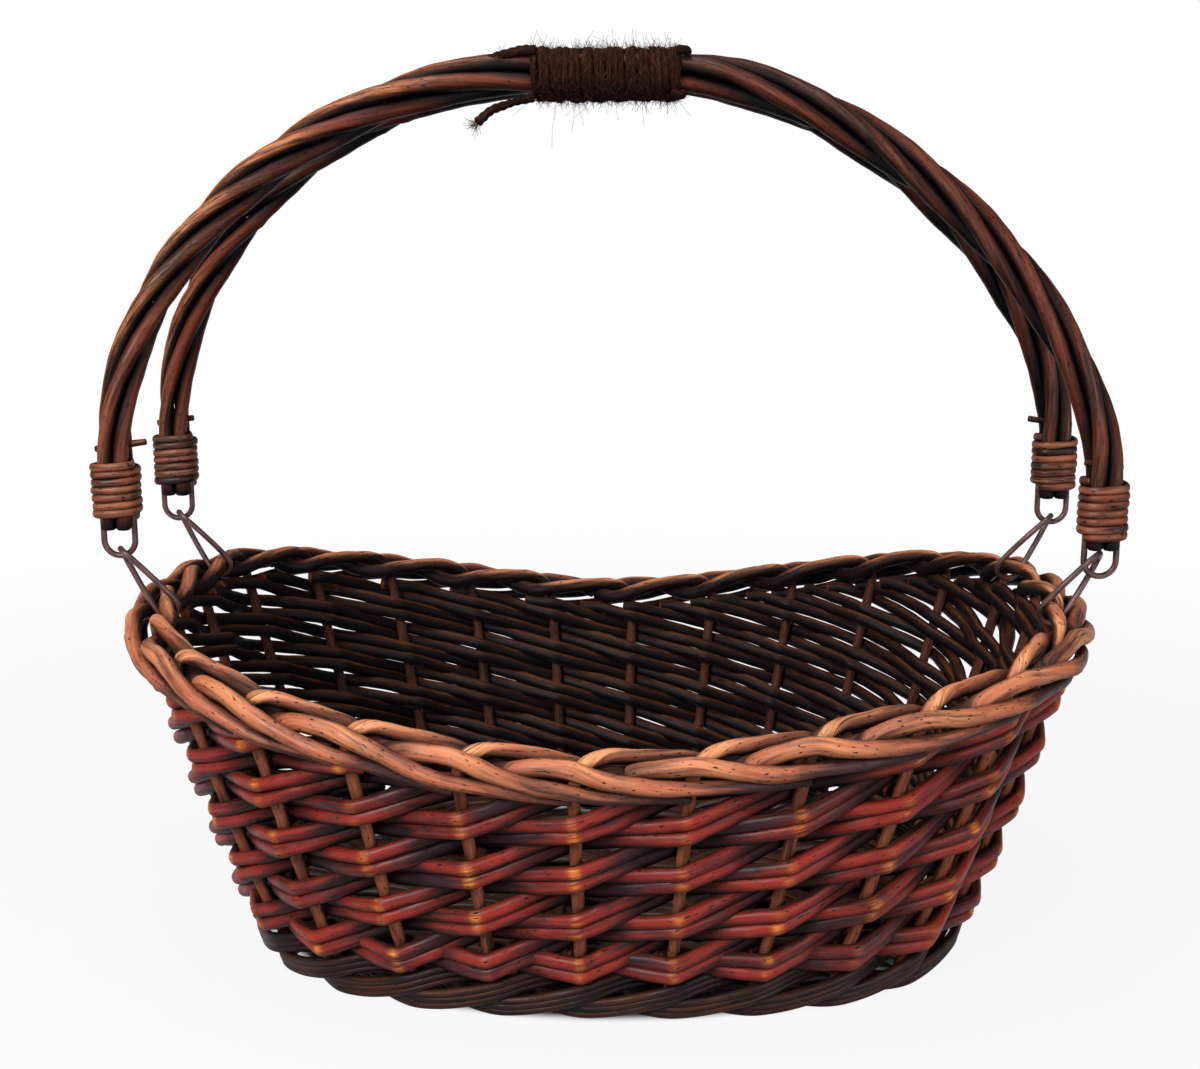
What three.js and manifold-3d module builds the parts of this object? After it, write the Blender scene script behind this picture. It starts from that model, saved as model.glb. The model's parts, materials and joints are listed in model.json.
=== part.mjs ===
// Oval willow basket with a double twisted handle that hangs on four pairs of wire links.
// Millimetres. X runs along the basket, Y across it with the front at -Y, and the floor is z = 0.
import * as THREE from 'three';
import { mergeVertices } from 'three/addons/utils/BufferGeometryUtils.js';
import loadManifold from 'manifold-3d';

const wasm = await loadManifold();
wasm.setup();
const { Manifold, Mesh: SolidMesh } = wasm;

// Wall
const RIM_LENGTH = 410;
const RIM_DEPTH = 300;
const BASE_LENGTH = 312;
const BASE_DEPTH = 229;
const OVAL_POWER = 2.67;
const RIM_LOW_HEIGHT = 115;
const RIM_END_RISE = 35;
const SADDLE_POWER = 1.5;
const FLARE_POWER = 0.84;

// Stakes, and the rolled border that they turn down into
const STAKE_COUNT = 26;
const STAKE_RADIUS = 2.6;
const STAKE_FOOT_HEIGHT = 2.5;
const STAKE_TOP_BELOW_RIM = 17;
const STAKE_WALL_STEPS = 2;
const END_CENTRE_OFFSET = 0.7;
const BORDER_ROD_RADIUS = 3.3;
const BORDER_TIP_RADIUS = 2.2;
const BORDER_SHIFT = -0.6;

// Side weave of paired rods
const WEAVER_THICKNESS = 4.4;
const WEAVER_PITCH = 11.3;
const WEAVER_END_STRETCH = 0.113;
const WEAVE_BOTTOM_HEIGHT = 19.2;
const WEAVE_TOP_BELOW_RIM = 9.5;
const PAIR_GAP = 0.6;
const PAIR_PRESS = 0.9;
const PAIRS_PER_GROUP = 3;
const WEAVER_START_ROW = -0.35;
const WEAVER_END_STEP = 0.6;

// Waled foot
const WALE_THICKNESS = 5;
const WALE_RISE = 11;
const WALE_STRANDS = 3;

// Base
const HOOP_RADIUS = 3;
const HOOP_STEPS_PER_STAKE = 1.5;
const HOOP_SEAT = 1.3;
const BASE_STICK_WIDTH = 7;
const BASE_STICK_HEIGHT = 4.4;
const BASE_STICK_SPACING = 44;
const BASE_WEAVER_THICKNESS = 4;
const BASE_WEAVER_PITCH = 20.6;
const BASE_WEAVER_PRESS = 0.4;
const BASE_WEAVER_END = 6;
const BASE_WEAVER_EASE = 1;

// Handle
const HANDLE_TOP_HEIGHT = 384;
const HANDLE_OVERHANG = 10;
const HANDLE_ROD_TOP_RADIUS = 3.6;
const HANDLE_ROD_FOOT_RADIUS = 3.2;
const ARCH_POWER_LEFT = 1.9;
const ARCH_POWER_RIGHT = 1.66;
const TWIST_TURNS = 1.25;
const TWIST_EASE = 0.35;
const FOOT_END_ABOVE_RIM = 38;
const FRONT_RIGHT_DROP = 7;
const FOOT_ROD_STUB = 4;
const ARCH_STEPS = 13;

// Windings
const BINDING_TURNS = 7;
const BINDING_PITCH = 3.9;
const BINDING_STRAND_HEIGHT = 3.3;
const BINDING_STRAND_THICKNESS = 1.6;
const BINDING_TAIL = 7;
const GRIP_TURNS = 18;
const GRIP_PITCH = 3.55;
const GRIP_MARGIN = 1;
const TWINE_THICKNESS = 2.6;
const TWINE_TAIL = 6;
const STEPS_PER_CORNER = 2;

// Wire
const WIRE_RADIUS = 1.35;
const LOOP_DROP = 12;
const LOOP_LEG_INSIDE = 12;
const LINK_HALF_WIDTH = 5.6;
const LINK_TWIST = 75;
const LINK_ARC_STEPS = 5;
const LOOP_ARC_STEPS = 8;

// Clearances, and the allowance for facets
const TOUCH_GAP = 0.3;
const FACET_GAP = 0.1;
const TWIST_GAP = 0.8;
const CHAIN_GAP = 0.4;
const HOOK_GAP = 0.8;
const BASE_WEAVE_GAP = 2;
const ARCH_GAP = 1.8;

const PI = Math.PI;
const mix = (a, b, t) => a + (b - a) * t;
const clamp01 = (t) => Math.min(1, Math.max(0, t));
const smooth = (t) => clamp01(t) ** 2 * (3 - 2 * clamp01(t));
const vec = (x, y, z) => new THREE.Vector3(x, y, z);
const X_AXIS = vec(1, 0, 0);
const Y_AXIS = vec(0, 1, 0);
const Z_AXIS = vec(0, 0, 1);

// Materials
const willow = (colour, roughness = 0.55) => ({ color: colour, roughness, metalness: 0 });
const STAKE_WILLOW = willow(0x8a5a35);
const WEAVER_WILLOW = willow(0x6b2c1c, 0.5);
const BASE_WILLOW = willow(0x5a3522, 0.65);
const HANDLE_WILLOW = willow(0x6a3320, 0.45);
const BINDING_WILLOW = willow(0x7a4a2c, 0.5);
const JUTE = willow(0x3d241a, 0.95);
const WIRE = { color: 0x4a3430, roughness: 0.42, metalness: 0.35 };

// Sections of a rod, listed anticlockwise in (sideways, upward) shares of its size. The square one
// is grown to hold as much as the round rod that it stands for.
function roundSection(sides) {
  const turn = (i) => ((i + 0.5) / sides) * 2 * PI;
  return Array.from({ length: sides }, (_, i) => [Math.cos(turn(i)), Math.sin(turn(i))]);
}
const FIVE_SIDES = roundSection(5);
const SQUARE_GROWTH = 1.2;
const FOUR_SIDES = roundSection(4).map(([x, y]) => [x * SQUARE_GROWTH, y * SQUARE_GROWTH]);
const FLAT_SECTION = [[1, 1], [-1, 1], [-1, -1], [1, -1]];
// Two rods lying one on the other, with the groove between them
const PAIR_GROOVE = 0.45;
const PAIR_SECTION = [
  [0, 1], [-1, 0.5], [-PAIR_GROOVE, 0], [-1, -0.5],
  [0, -1], [1, -0.5], [PAIR_GROOVE, 0], [1, 0.5],
];

// Sweeps a section along stations {p, side, a, b}: a is the half size along `side`, b the other one
function sweep(stations, section, closed = false) {
  const count = stations.length;
  const sides = section.length;
  const positions = [];
  const index = [];
  stations.forEach((station, i) => {
    const before = stations[closed ? (i + count - 1) % count : Math.max(0, i - 1)].p;
    const after = stations[closed ? (i + 1) % count : Math.min(count - 1, i + 1)].p;
    const ahead = after.clone().sub(before).normalize();
    const side = station.side.clone().addScaledVector(ahead, -station.side.dot(ahead)).normalize();
    const up = ahead.clone().cross(side);
    for (const [sx, sy] of section) {
      const corner = station.p.clone();
      corner.addScaledVector(side, sx * station.a).addScaledVector(up, sy * station.b);
      positions.push(corner.x, corner.y, corner.z);
    }
  });
  const rings = closed ? count : count - 1;
  for (let i = 0; i < rings; i += 1) {
    const next = ((i + 1) % count) * sides;
    for (let j = 0; j < sides; j += 1) {
      const k = (j + 1) % sides;
      const a = i * sides + j;
      const b = i * sides + k;
      index.push(a, b, next + k, a, next + k, next + j);
    }
  }
  if (!closed) {
    const ends = THREE.ShapeUtils.triangulateShape(section.map(([x, y]) => new THREE.Vector2(x, y)), []);
    const last = (count - 1) * sides;
    for (const [a, b, c] of ends) {
      index.push(a, c, b, last + a, last + b, last + c);
    }
  }
  const geometry = new THREE.BufferGeometry();
  geometry.setAttribute('position', new THREE.Float32BufferAttribute(positions, 3));
  geometry.setIndex(index);
  return geometry;
}

function toSolid(geometry) {
  const vertProperties = new Float32Array(geometry.getAttribute('position').array);
  const triVerts = new Uint32Array(geometry.getIndex().array);
  return new Manifold(new SolidMesh({ numProp: 3, vertProperties, triVerts }));
}

// Joins pieces that press on each other into one body
function join(geometries) {
  const mesh = Manifold.union(geometries.map(toSolid)).getMesh();
  const geometry = new THREE.BufferGeometry();
  const positions = [];
  for (let i = 0; i < mesh.numVert; i += 1) {
    positions.push(...mesh.vertProperties.slice(i * mesh.numProp, i * mesh.numProp + 3));
  }
  geometry.setAttribute('position', new THREE.Float32BufferAttribute(positions, 3));
  geometry.setIndex([...mesh.triVerts]);
  return geometry;
}

// Wall surface: u counts stakes round the oval from the right end, z is the height
function ovalRadius(angle, halfLength, halfDepth) {
  const x = Math.abs(Math.cos(angle) / halfLength) ** OVAL_POWER;
  const y = Math.abs(Math.sin(angle) / halfDepth) ** OVAL_POWER;
  return (x + y) ** (-1 / OVAL_POWER);
}

function makeRimTable(steps) {
  const table = [{ angle: 0, length: 0 }];
  let x0 = RIM_LENGTH / 2;
  let y0 = 0;
  for (let i = 1; i <= steps; i += 1) {
    const angle = (i / steps) * 2 * PI;
    const r = ovalRadius(angle, RIM_LENGTH / 2, RIM_DEPTH / 2);
    const x = r * Math.cos(angle);
    const y = r * Math.sin(angle);
    table.push({ angle, length: table[i - 1].length + Math.hypot(x - x0, y - y0) });
    x0 = x;
    y0 = y;
  }
  return table;
}
const RIM_TABLE_STEPS = 1440;
const rimTable = makeRimTable(RIM_TABLE_STEPS);
const rimRound = rimTable[RIM_TABLE_STEPS].length;
const stakeSpacing = rimRound / STAKE_COUNT;

function angleAt(u) {
  const turns = (u - END_CENTRE_OFFSET) / STAKE_COUNT;
  const whole = Math.floor(turns);
  const length = (turns - whole) * rimRound;
  let low = 0;
  let high = RIM_TABLE_STEPS;
  while (high - low > 1) {
    const middle = (low + high) >> 1;
    if (rimTable[middle].length <= length) low = middle;
    else high = middle;
  }
  const span = rimTable[high].length - rimTable[low].length;
  const share = (length - rimTable[low].length) / span;
  return mix(rimTable[low].angle, rimTable[high].angle, share) + whole * 2 * PI;
}

function rimHeight(angle) {
  const x = ovalRadius(angle, RIM_LENGTH / 2, RIM_DEPTH / 2) * Math.cos(angle);
  const share = Math.abs(x) / (RIM_LENGTH / 2);
  return RIM_LOW_HEIGHT + RIM_END_RISE * share ** SADDLE_POWER;
}

function wallAt(angle, z) {
  const rise = clamp01(z / rimHeight(angle)) ** FLARE_POWER;
  const halfLength = mix(BASE_LENGTH, RIM_LENGTH, rise) / 2;
  const halfDepth = mix(BASE_DEPTH, RIM_DEPTH, rise) / 2;
  const r = ovalRadius(angle, halfLength, halfDepth);
  return vec(r * Math.cos(angle), r * Math.sin(angle), z);
}

// Short steps round and up the wall that give its outward direction
const WALL_SAMPLE_TURN = 0.004;
const WALL_SAMPLE_LIFT = 1.5;

function wallOutward(angle, z) {
  const round = wallAt(angle + WALL_SAMPLE_TURN, z).sub(wallAt(angle - WALL_SAMPLE_TURN, z));
  const up = wallAt(angle, z + WALL_SAMPLE_LIFT)
    .sub(wallAt(angle, Math.max(0, z - WALL_SAMPLE_LIFT)));
  return round.cross(up).normalize();
}

// A point `out` mm outside the wall's middle surface
function wallPoint(u, z, out = 0) {
  const angle = angleAt(u);
  return wallAt(angle, z).addScaledVector(wallOutward(angle, z), out);
}

function levelOutward(u) {
  const angle = angleAt(u);
  const height = rimHeight(angle);
  const round = wallAt(angle + WALL_SAMPLE_TURN, height)
    .sub(wallAt(angle - WALL_SAMPLE_TURN, height));
  return vec(round.y, -round.x, 0).normalize();
}

// A point of the border, `out` and `up` mm from the rim line
function borderPoint(u, out, up) {
  const angle = angleAt(u);
  const height = rimHeight(angle);
  return wallAt(angle, height).addScaledVector(levelOutward(u), out + BORDER_SHIFT).add(vec(0, 0, up));
}

// Route of a stake through the border: stakes passed, mm outward, mm up, radius
const BORDER_ROUTE = [
  [0.0, -2.0, -8.0, STAKE_RADIUS],
  [0.08, -0.9, 3.0, 2.9],
  [0.3, -2.6, 5.2, BORDER_ROD_RADIUS],
  [0.7, -5.6, 3.6, BORDER_ROD_RADIUS],
  [1.0, -7.4, 0.6, BORDER_ROD_RADIUS],
  [1.2, -5.4, -3.2, BORDER_ROD_RADIUS],
  [1.42, 0.6, -2.8, BORDER_ROD_RADIUS],
  [1.65, 4.6, 1.2, BORDER_ROD_RADIUS],
  [2.0, 6.8, 2.8, BORDER_ROD_RADIUS],
  [2.35, 9.0, -0.7, BORDER_ROD_RADIUS],
  [2.7, 9.8, -4.2, 3.2],
  [3.1, 8.8, -6.4, 3.0],
  [3.6, 6.6, -9.4, 2.6],
  [4.0, 4.2, -11.4, BORDER_TIP_RADIUS],
];

function stakeRod(k) {
  const stations = [];
  const top = rimHeight(angleAt(k)) - STAKE_TOP_BELOW_RIM;
  for (let i = 0; i <= STAKE_WALL_STEPS; i += 1) {
    const p = wallPoint(k, mix(STAKE_FOOT_HEIGHT, top, i / STAKE_WALL_STEPS));
    stations.push({ p, side: levelOutward(k), a: STAKE_RADIUS, b: STAKE_RADIUS });
  }
  for (const [passed, out, up, radius] of BORDER_ROUTE) {
    const u = k + passed;
    stations.push({ p: borderPoint(u, out, up), side: levelOutward(u), a: radius, b: radius });
  }
  return stations;
}

// Side weave: pair k sets out inside the wall, climbs one row at each stake, and passes
// in front of every second stake until it meets the border
const bottomSpacing = (stakeSpacing * BASE_LENGTH) / RIM_LENGTH;

// How far a rod that zigzags round the stakes lies from the wall's middle surface
function zigzagReach(thickness) {
  const touching = STAKE_RADIUS + thickness / 2 + TOUCH_GAP + FACET_GAP;
  return touching / (1 - (2 * STAKE_RADIUS) / bottomSpacing);
}

function weaverPitch(u) {
  const rise = (rimHeight(angleAt(u)) - RIM_LOW_HEIGHT) / RIM_END_RISE;
  return WEAVER_PITCH * (1 + WEAVER_END_STRETCH * rise);
}

function weaverHeight(u, row) {
  return WEAVE_BOTTOM_HEIGHT + (row + 0.5) * weaverPitch(u);
}

// 1 in front of a stake, -1 behind it, straight between
function zigzag(row) {
  const phase = ((row % 2) + 2) % 2;
  return 1 - 2 * (phase > 1 ? 2 - phase : phase);
}

function weaverRows(k) {
  const rows = [WEAVER_START_ROW];
  const fits = (row) => {
    const u = k + row;
    const top = weaverHeight(u, row) + weaverPitch(u) / 2;
    return top < rimHeight(angleAt(u)) - WEAVE_TOP_BELOW_RIM;
  };
  let row = 0;
  while (fits(row + WEAVER_END_STEP)) {
    rows.push(row);
    row += 1;
  }
  rows.push(row - 1 + WEAVER_END_STEP);
  return rows;
}

// Distance between two stakes beside the place u at a height
function spacingAt(u, z) {
  return wallAt(angleAt(u + 0.5), z).distanceTo(wallAt(angleAt(u - 0.5), z));
}

function weaverPair(k, pressedOnUpper) {
  const reach = zigzagReach(WEAVER_THICKNESS);
  const growth = pressedOnUpper ? PAIR_GAP + PAIR_PRESS : 0;
  return weaverRows(k).map((row) => {
    const u = k + row;
    const z = weaverHeight(u, row) + growth / 2;
    const climb = Math.atan2(weaverPitch(u), spacingAt(u, z));
    return {
      p: wallPoint(u, z, reach * zigzag(row)),
      side: wallOutward(angleAt(u), z),
      a: WEAVER_THICKNESS / 2,
      b: (weaverPitch(u) * Math.cos(climb) - PAIR_GAP + growth) / 2,
    };
  });
}

function weaverGroup(first, count) {
  const pairs = [];
  for (let i = 0; i < count; i += 1) {
    pairs.push(sweep(weaverPair(first + i, i > 0), PAIR_SECTION));
  }
  return join(pairs);
}

// Foot: a wale of three strands, each in front of two stakes and behind one. On 26 stakes the
// strands run into each other, so they make one ring that goes three times round.
const waleLow = WALE_THICKNESS / 2;
const waleReach = zigzagReach(WALE_THICKNESS);

function waleRing() {
  const stations = [];
  for (let step = 0; step < STAKE_COUNT * WALE_STRANDS; step += 1) {
    const phase = step % WALE_STRANDS;
    const behind = phase === WALE_STRANDS - 1;
    const out = behind ? -waleReach : waleReach;
    const z = waleLow + WALE_RISE * (behind ? 0.5 : phase);
    const side = levelOutward(step);
    stations.push({ p: wallPoint(step, z, out), side, a: WALE_THICKNESS / 2, b: WALE_THICKNESS / 2 });
  }
  return sweep(stations, FOUR_SIDES, true);
}

// Base: a hoop inside the wale, cross sticks let into it, and weavers run lengthwise
// over and under the sticks
const baseMiddle = BASE_WEAVER_THICKNESS + TOUCH_GAP + BASE_STICK_HEIGHT / 2;
const waleInside = waleReach + (WALE_THICKNESS / 2) * SQUARE_GROWTH * Math.SQRT1_2;
const hoopInset = waleInside + TOUCH_GAP + HOOP_RADIUS - HOOP_SEAT;
const waleBehindHeight = waleLow + WALE_RISE / 2;
const hoopHalfLength = wallAt(0, waleBehindHeight).x - hoopInset;
const hoopHalfDepth = wallAt(PI / 2, waleBehindHeight).y - hoopInset;
const weaveInset = HOOP_RADIUS + BASE_WEAVE_GAP;

// The hoop keeps its distance to the wale all round. The sticks and weavers end on an oval of its
// length and depth, `inset` mm further in: its half size beside the place x or y
function ovalDepthAt(x, inset) {
  const share = Math.abs(x) / (hoopHalfLength - inset);
  return (hoopHalfDepth - inset) * (1 - share ** OVAL_POWER) ** (1 / OVAL_POWER);
}

function ovalLengthAt(y, inset) {
  const share = Math.abs(y) / (hoopHalfDepth - inset);
  return (hoopHalfLength - inset) * (1 - share ** OVAL_POWER) ** (1 / OVAL_POWER);
}

function stickPlaces() {
  const places = [];
  const half = hoopHalfLength - HOOP_RADIUS - BASE_STICK_WIDTH;
  for (let x = BASE_STICK_SPACING / 2; x < half; x += BASE_STICK_SPACING) places.push(-x, x);
  return places.sort((a, b) => a - b);
}

function baseFrame() {
  const ring = [];
  const steps = Math.round(HOOP_STEPS_PER_STAKE * STAKE_COUNT);
  for (let i = 0; i < steps; i += 1) {
    const u = (i / steps) * STAKE_COUNT;
    const p = wallAt(angleAt(u), waleBehindHeight).addScaledVector(levelOutward(u), -hoopInset);
    p.z = baseMiddle;
    ring.push({ p, side: Z_AXIS, a: HOOP_RADIUS, b: HOOP_RADIUS });
  }
  const pieces = [sweep(ring, FIVE_SIDES, true)];
  for (const x of stickPlaces()) {
    const half = ovalDepthAt(x, 0);
    const length = new THREE.BoxGeometry(BASE_STICK_WIDTH, 2 * half, BASE_STICK_HEIGHT);
    length.translate(x, 0, baseMiddle);
    pieces.push(weld(length));
  }
  return join(pieces);
}

// A three.js box repeats its corners, one for each face, and a solid shares them
function weld(geometry) {
  const plain = geometry.clone();
  plain.deleteAttribute('normal');
  plain.deleteAttribute('uv');
  return mergeVertices(plain, 1e-3);
}

function baseWeaver(row) {
  const half = (BASE_WEAVER_PITCH + BASE_WEAVER_PRESS) / 2;
  const y = row * BASE_WEAVER_PITCH;
  const hoopEnd = ovalLengthAt(Math.abs(y) + half, weaveInset);
  const lift = (BASE_STICK_HEIGHT + BASE_WEAVER_THICKNESS) / 2 + TOUCH_GAP;
  const flat = BASE_STICK_WIDTH / 2 + BASE_WEAVER_EASE;
  const stations = [];
  const put = (x, z) => {
    stations.push({ p: vec(x, y, z), side: Y_AXIS, a: half, b: BASE_WEAVER_THICKNESS / 2 });
  };
  const crossed = stickPlaces().filter((x) => Math.abs(x) + flat + BASE_WEAVER_END < hoopEnd);
  const nextStick = crossed[crossed.length - 1] + BASE_STICK_SPACING;
  const end = Math.min(hoopEnd, nextStick - flat);
  put(-end, baseMiddle);
  crossed.forEach((x) => {
    const column = Math.round(x / BASE_STICK_SPACING - 0.5);
    const over = (column + row) % 2 === 0 ? 1 : -1;
    put(x - flat, baseMiddle + over * lift);
    put(x + flat, baseMiddle + over * lift);
  });
  put(end, baseMiddle);
  return sweep(stations, FLAT_SECTION);
}

function baseWeave() {
  const reach = hoopHalfDepth - weaveInset - BASE_WEAVER_PITCH / 2 - BASE_WEAVER_PRESS;
  const rows = Math.floor(reach / BASE_WEAVER_PITCH);
  const weavers = [];
  for (let row = -rows; row <= rows; row += 1) weavers.push(baseWeaver(row));
  return join(weavers);
}

// Where a link hooks under a border rod, on the two stakes beside each end's middle
function routeAt(passed) {
  let i = 1;
  while (BORDER_ROUTE[i][0] < passed) i += 1;
  const [s0, w0, h0] = BORDER_ROUTE[i - 1];
  const [s1, w1, h1] = BORDER_ROUTE[i];
  const t = (passed - s0) / (s1 - s0);
  return [mix(w0, w1, t), mix(h0, h1, t)];
}

const LINK_ALONG = END_CENTRE_OFFSET;
const CORNERS = [
  { name: 'front_left', u: LINK_ALONG + STAKE_COUNT / 2 + 1, sideX: -1, arch: 'front', drop: 0 },
  { name: 'front_right', u: LINK_ALONG - 1, sideX: 1, arch: 'front', drop: FRONT_RIGHT_DROP },
  { name: 'back_left', u: LINK_ALONG + STAKE_COUNT / 2 - 1, sideX: -1, arch: 'back', drop: 0 },
  { name: 'back_right', u: LINK_ALONG + 1, sideX: 1, arch: 'back', drop: 0 },
];

function hookCentre(corner) {
  const [out, up] = routeAt(LINK_ALONG);
  return borderPoint(corner.u, out, up);
}
const footY = Math.abs(hookCentre(CORNERS[0]).y);
const footX = RIM_LENGTH / 2 + HANDLE_OVERHANG;
const footEndHeight = RIM_LOW_HEIGHT + RIM_END_RISE + FOOT_END_ABOVE_RIM;
const contactHeight = footEndHeight - LOOP_DROP;

// The axis that a link swings about at the handle: the bottom of the loop
function contactPoint(corner) {
  return vec(corner.sideX * footX, hookCentre(corner).y, contactHeight);
}

function linkEnds(corner) {
  const rod = hookCentre(corner);
  const contact = contactPoint(corner);
  const top = contact.clone().addScaledVector(Z_AXIS, 2 * WIRE_RADIUS + CHAIN_GAP);
  const along = top.clone().sub(rod).normalize();
  const bottom = rod.clone().addScaledVector(along, -(BORDER_ROD_RADIUS + HOOK_GAP + WIRE_RADIUS));
  return { along, bottom, top };
}

function linkRing(corner) {
  const { along, bottom, top } = linkEnds(corner);
  const length = top.distanceTo(bottom);
  const across = along.clone().cross(Y_AXIS).normalize();
  const bottomRadius = BORDER_ROD_RADIUS + HOOK_GAP + WIRE_RADIUS;
  const stations = [];
  const put = (sideways, lengthwise) => {
    const twist = THREE.MathUtils.degToRad(LINK_TWIST) * corner.sideX * (lengthwise / length);
    const direction = across.clone().applyAxisAngle(along, twist);
    const p = bottom.clone().addScaledVector(along, lengthwise).addScaledVector(direction, sideways);
    const normal = direction.clone().cross(along);
    stations.push({ p, side: normal, a: WIRE_RADIUS, b: WIRE_RADIUS });
  };
  for (let i = 0; i <= LINK_ARC_STEPS; i += 1) {
    const turn = (i / LINK_ARC_STEPS) * PI;
    put(Math.cos(turn) * LINK_HALF_WIDTH, length - LINK_HALF_WIDTH + Math.sin(turn) * LINK_HALF_WIDTH);
  }
  put(-mix(bottomRadius, LINK_HALF_WIDTH, 0.5), length / 2);
  for (let i = 0; i <= LINK_ARC_STEPS; i += 1) {
    const turn = PI + (i / LINK_ARC_STEPS) * PI;
    put(Math.cos(turn) * bottomRadius, bottomRadius + Math.sin(turn) * bottomRadius);
  }
  put(mix(bottomRadius, LINK_HALF_WIDTH, 0.5), length / 2);
  return sweep(stations, FIVE_SIDES, true);
}

// Handle: each arch is four rods twisted together, parallel inside its bindings and the grip
const rodFootReach = HANDLE_ROD_FOOT_RADIUS + (TOUCH_GAP + FACET_GAP) / 2;
const rodTopReach = HANDLE_ROD_TOP_RADIUS + TWIST_GAP / 2;
const gripHalfLength = (GRIP_TURNS * GRIP_PITCH) / 2 + GRIP_MARGIN;
const archGripY = 2 * rodTopReach + ARCH_GAP / 2;
const loopHalfWidth = rodFootReach + Math.sqrt(
  (HANDLE_ROD_FOOT_RADIUS + WIRE_RADIUS + TOUCH_GAP) ** 2 - rodFootReach ** 2,
);
const bindingHeight = BINDING_TURNS * BINDING_PITCH;

// Centre line of an arch: turn is 0 at a foot's binding and a right angle at the grip
function archPoint(corner, turn) {
  const bow = 2 / (corner.sideX < 0 ? ARCH_POWER_LEFT : ARCH_POWER_RIGHT);
  const start = footEndHeight - corner.drop + FOOT_ROD_STUB + bindingHeight;
  const x = gripHalfLength + (footX - gripHalfLength) * Math.max(0, Math.cos(turn)) ** bow;
  const z = start + (HANDLE_TOP_HEIGHT - start) * Math.sin(turn) ** bow;
  const y = mix(footY, archGripY, smooth(turn / (PI / 2)));
  return vec(corner.sideX * x, y * (corner.arch === 'front' ? -1 : 1), z);
}

function twistAt(turn) {
  const share = turn / (PI / 2);
  const ease = (TWIST_EASE * Math.sin(2 * PI * share)) / (2 * PI);
  return TWIST_TURNS * 2 * PI * (share - ease);
}

function archSide(corner, rod) {
  const stations = [];
  const foot = vec(corner.sideX * footX, footY * (corner.arch === 'front' ? -1 : 1), 0);
  const put = (centre, ahead, turn, blend) => {
    const radius = mix(HANDLE_ROD_FOOT_RADIUS, HANDLE_ROD_TOP_RADIUS, blend);
    const reach = mix(rodFootReach, rodTopReach, blend) * Math.SQRT2;
    const up = ahead.clone().cross(Y_AXIS).multiplyScalar(corner.sideX);
    const angle = (rod + 0.5) * (PI / 2) + corner.sideX * (twistAt(turn) - twistAt(PI / 2));
    const p = centre.clone();
    p.addScaledVector(Y_AXIS, Math.cos(angle) * reach).addScaledVector(up, Math.sin(angle) * reach);
    stations.push({ p, side: Y_AXIS, a: radius, b: radius });
  };
  foot.z = footEndHeight - corner.drop;
  put(foot, Z_AXIS, 0, 0);
  for (let i = 0; i <= ARCH_STEPS; i += 1) {
    const turn = (i / ARCH_STEPS) * (PI / 2);
    const step = 1e-3;
    const ahead = archPoint(corner, Math.min(PI / 2, turn + step))
      .sub(archPoint(corner, Math.max(0, turn - step)));
    ahead.y = 0;
    if (i === 0) ahead.copy(Z_AXIS);
    if (i === ARCH_STEPS) ahead.set(-corner.sideX, 0, 0);
    put(archPoint(corner, turn), ahead.normalize(), turn, smooth(i / ARCH_STEPS));
  }
  return stations;
}

function handleRod(arch, rod) {
  const [left, right] = CORNERS.filter((corner) => corner.arch === arch);
  const leftHalf = archSide(left, rod);
  const rightHalf = archSide(right, rod).reverse();
  return sweep([...leftHalf, ...rightHalf], FIVE_SIDES);
}

// A strand wound round a rounded bundle: `along` is the bundle's direction, half sizes are the
// bundle's, and the polygon of each turn stays outside it
function winding({ centre, along, first, second, half1, half2, corner, turns, pitch, thick, high }) {
  const off = thick / 2 + TOUCH_GAP;
  const bend = (corner + off) / Math.cos(PI / 4 / STEPS_PER_CORNER);
  const stations = [];
  const steps = 4 * (STEPS_PER_CORNER + 1);
  const total = turns * steps;
  for (let i = 0; i <= total; i += 1) {
    const quarter = Math.floor(i / (STEPS_PER_CORNER + 1));
    const inCorner = i % (STEPS_PER_CORNER + 1);
    const angle = (quarter + inCorner / STEPS_PER_CORNER) * (PI / 2);
    const sx = [1, -1, -1, 1][quarter % 4];
    const sy = [1, 1, -1, -1][quarter % 4];
    const outward = first.clone().multiplyScalar(Math.cos(angle));
    outward.addScaledVector(second, Math.sin(angle));
    const p = centre.clone().addScaledVector(along, (i / steps - turns / 2) * pitch);
    p.addScaledVector(first, sx * (half1 - corner)).addScaledVector(second, sy * (half2 - corner));
    p.addScaledVector(outward, bend);
    stations.push({ p, side: along, a: high / 2, b: thick / 2, outward });
  }
  return stations;
}

// Turns the end of a winding straight out of the bundle
function withTail(stations, length, atEnd) {
  const last = stations[atEnd ? stations.length - 1 : 0];
  const p = last.p.clone().addScaledVector(last.outward, length);
  const tail = { ...last, p };
  return atEnd ? [...stations, tail] : [tail, ...stations];
}

// Least distance between the corner points of turns that lie one over the other
function leastGap(stations, section) {
  const rings = stations.map((station, i) => {
    const ahead = stations[Math.min(stations.length - 1, i + 1)].p.clone();
    ahead.sub(stations[Math.max(0, i - 1)].p).normalize();
    const side = station.side.clone().addScaledVector(ahead, -station.side.dot(ahead)).normalize();
    const up = ahead.clone().cross(side);
    return section.map(([sx, sy]) => station.p.clone()
      .addScaledVector(side, sx * station.a).addScaledVector(up, sy * station.b));
  });
  let least = Infinity;
  for (let i = 0; i < rings.length; i += 1) {
    for (let j = i + 6; j < rings.length; j += 1) {
      for (const a of rings[i]) {
        for (const b of rings[j]) least = Math.min(least, a.distanceTo(b));
      }
    }
  }
  return least;
}

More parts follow.
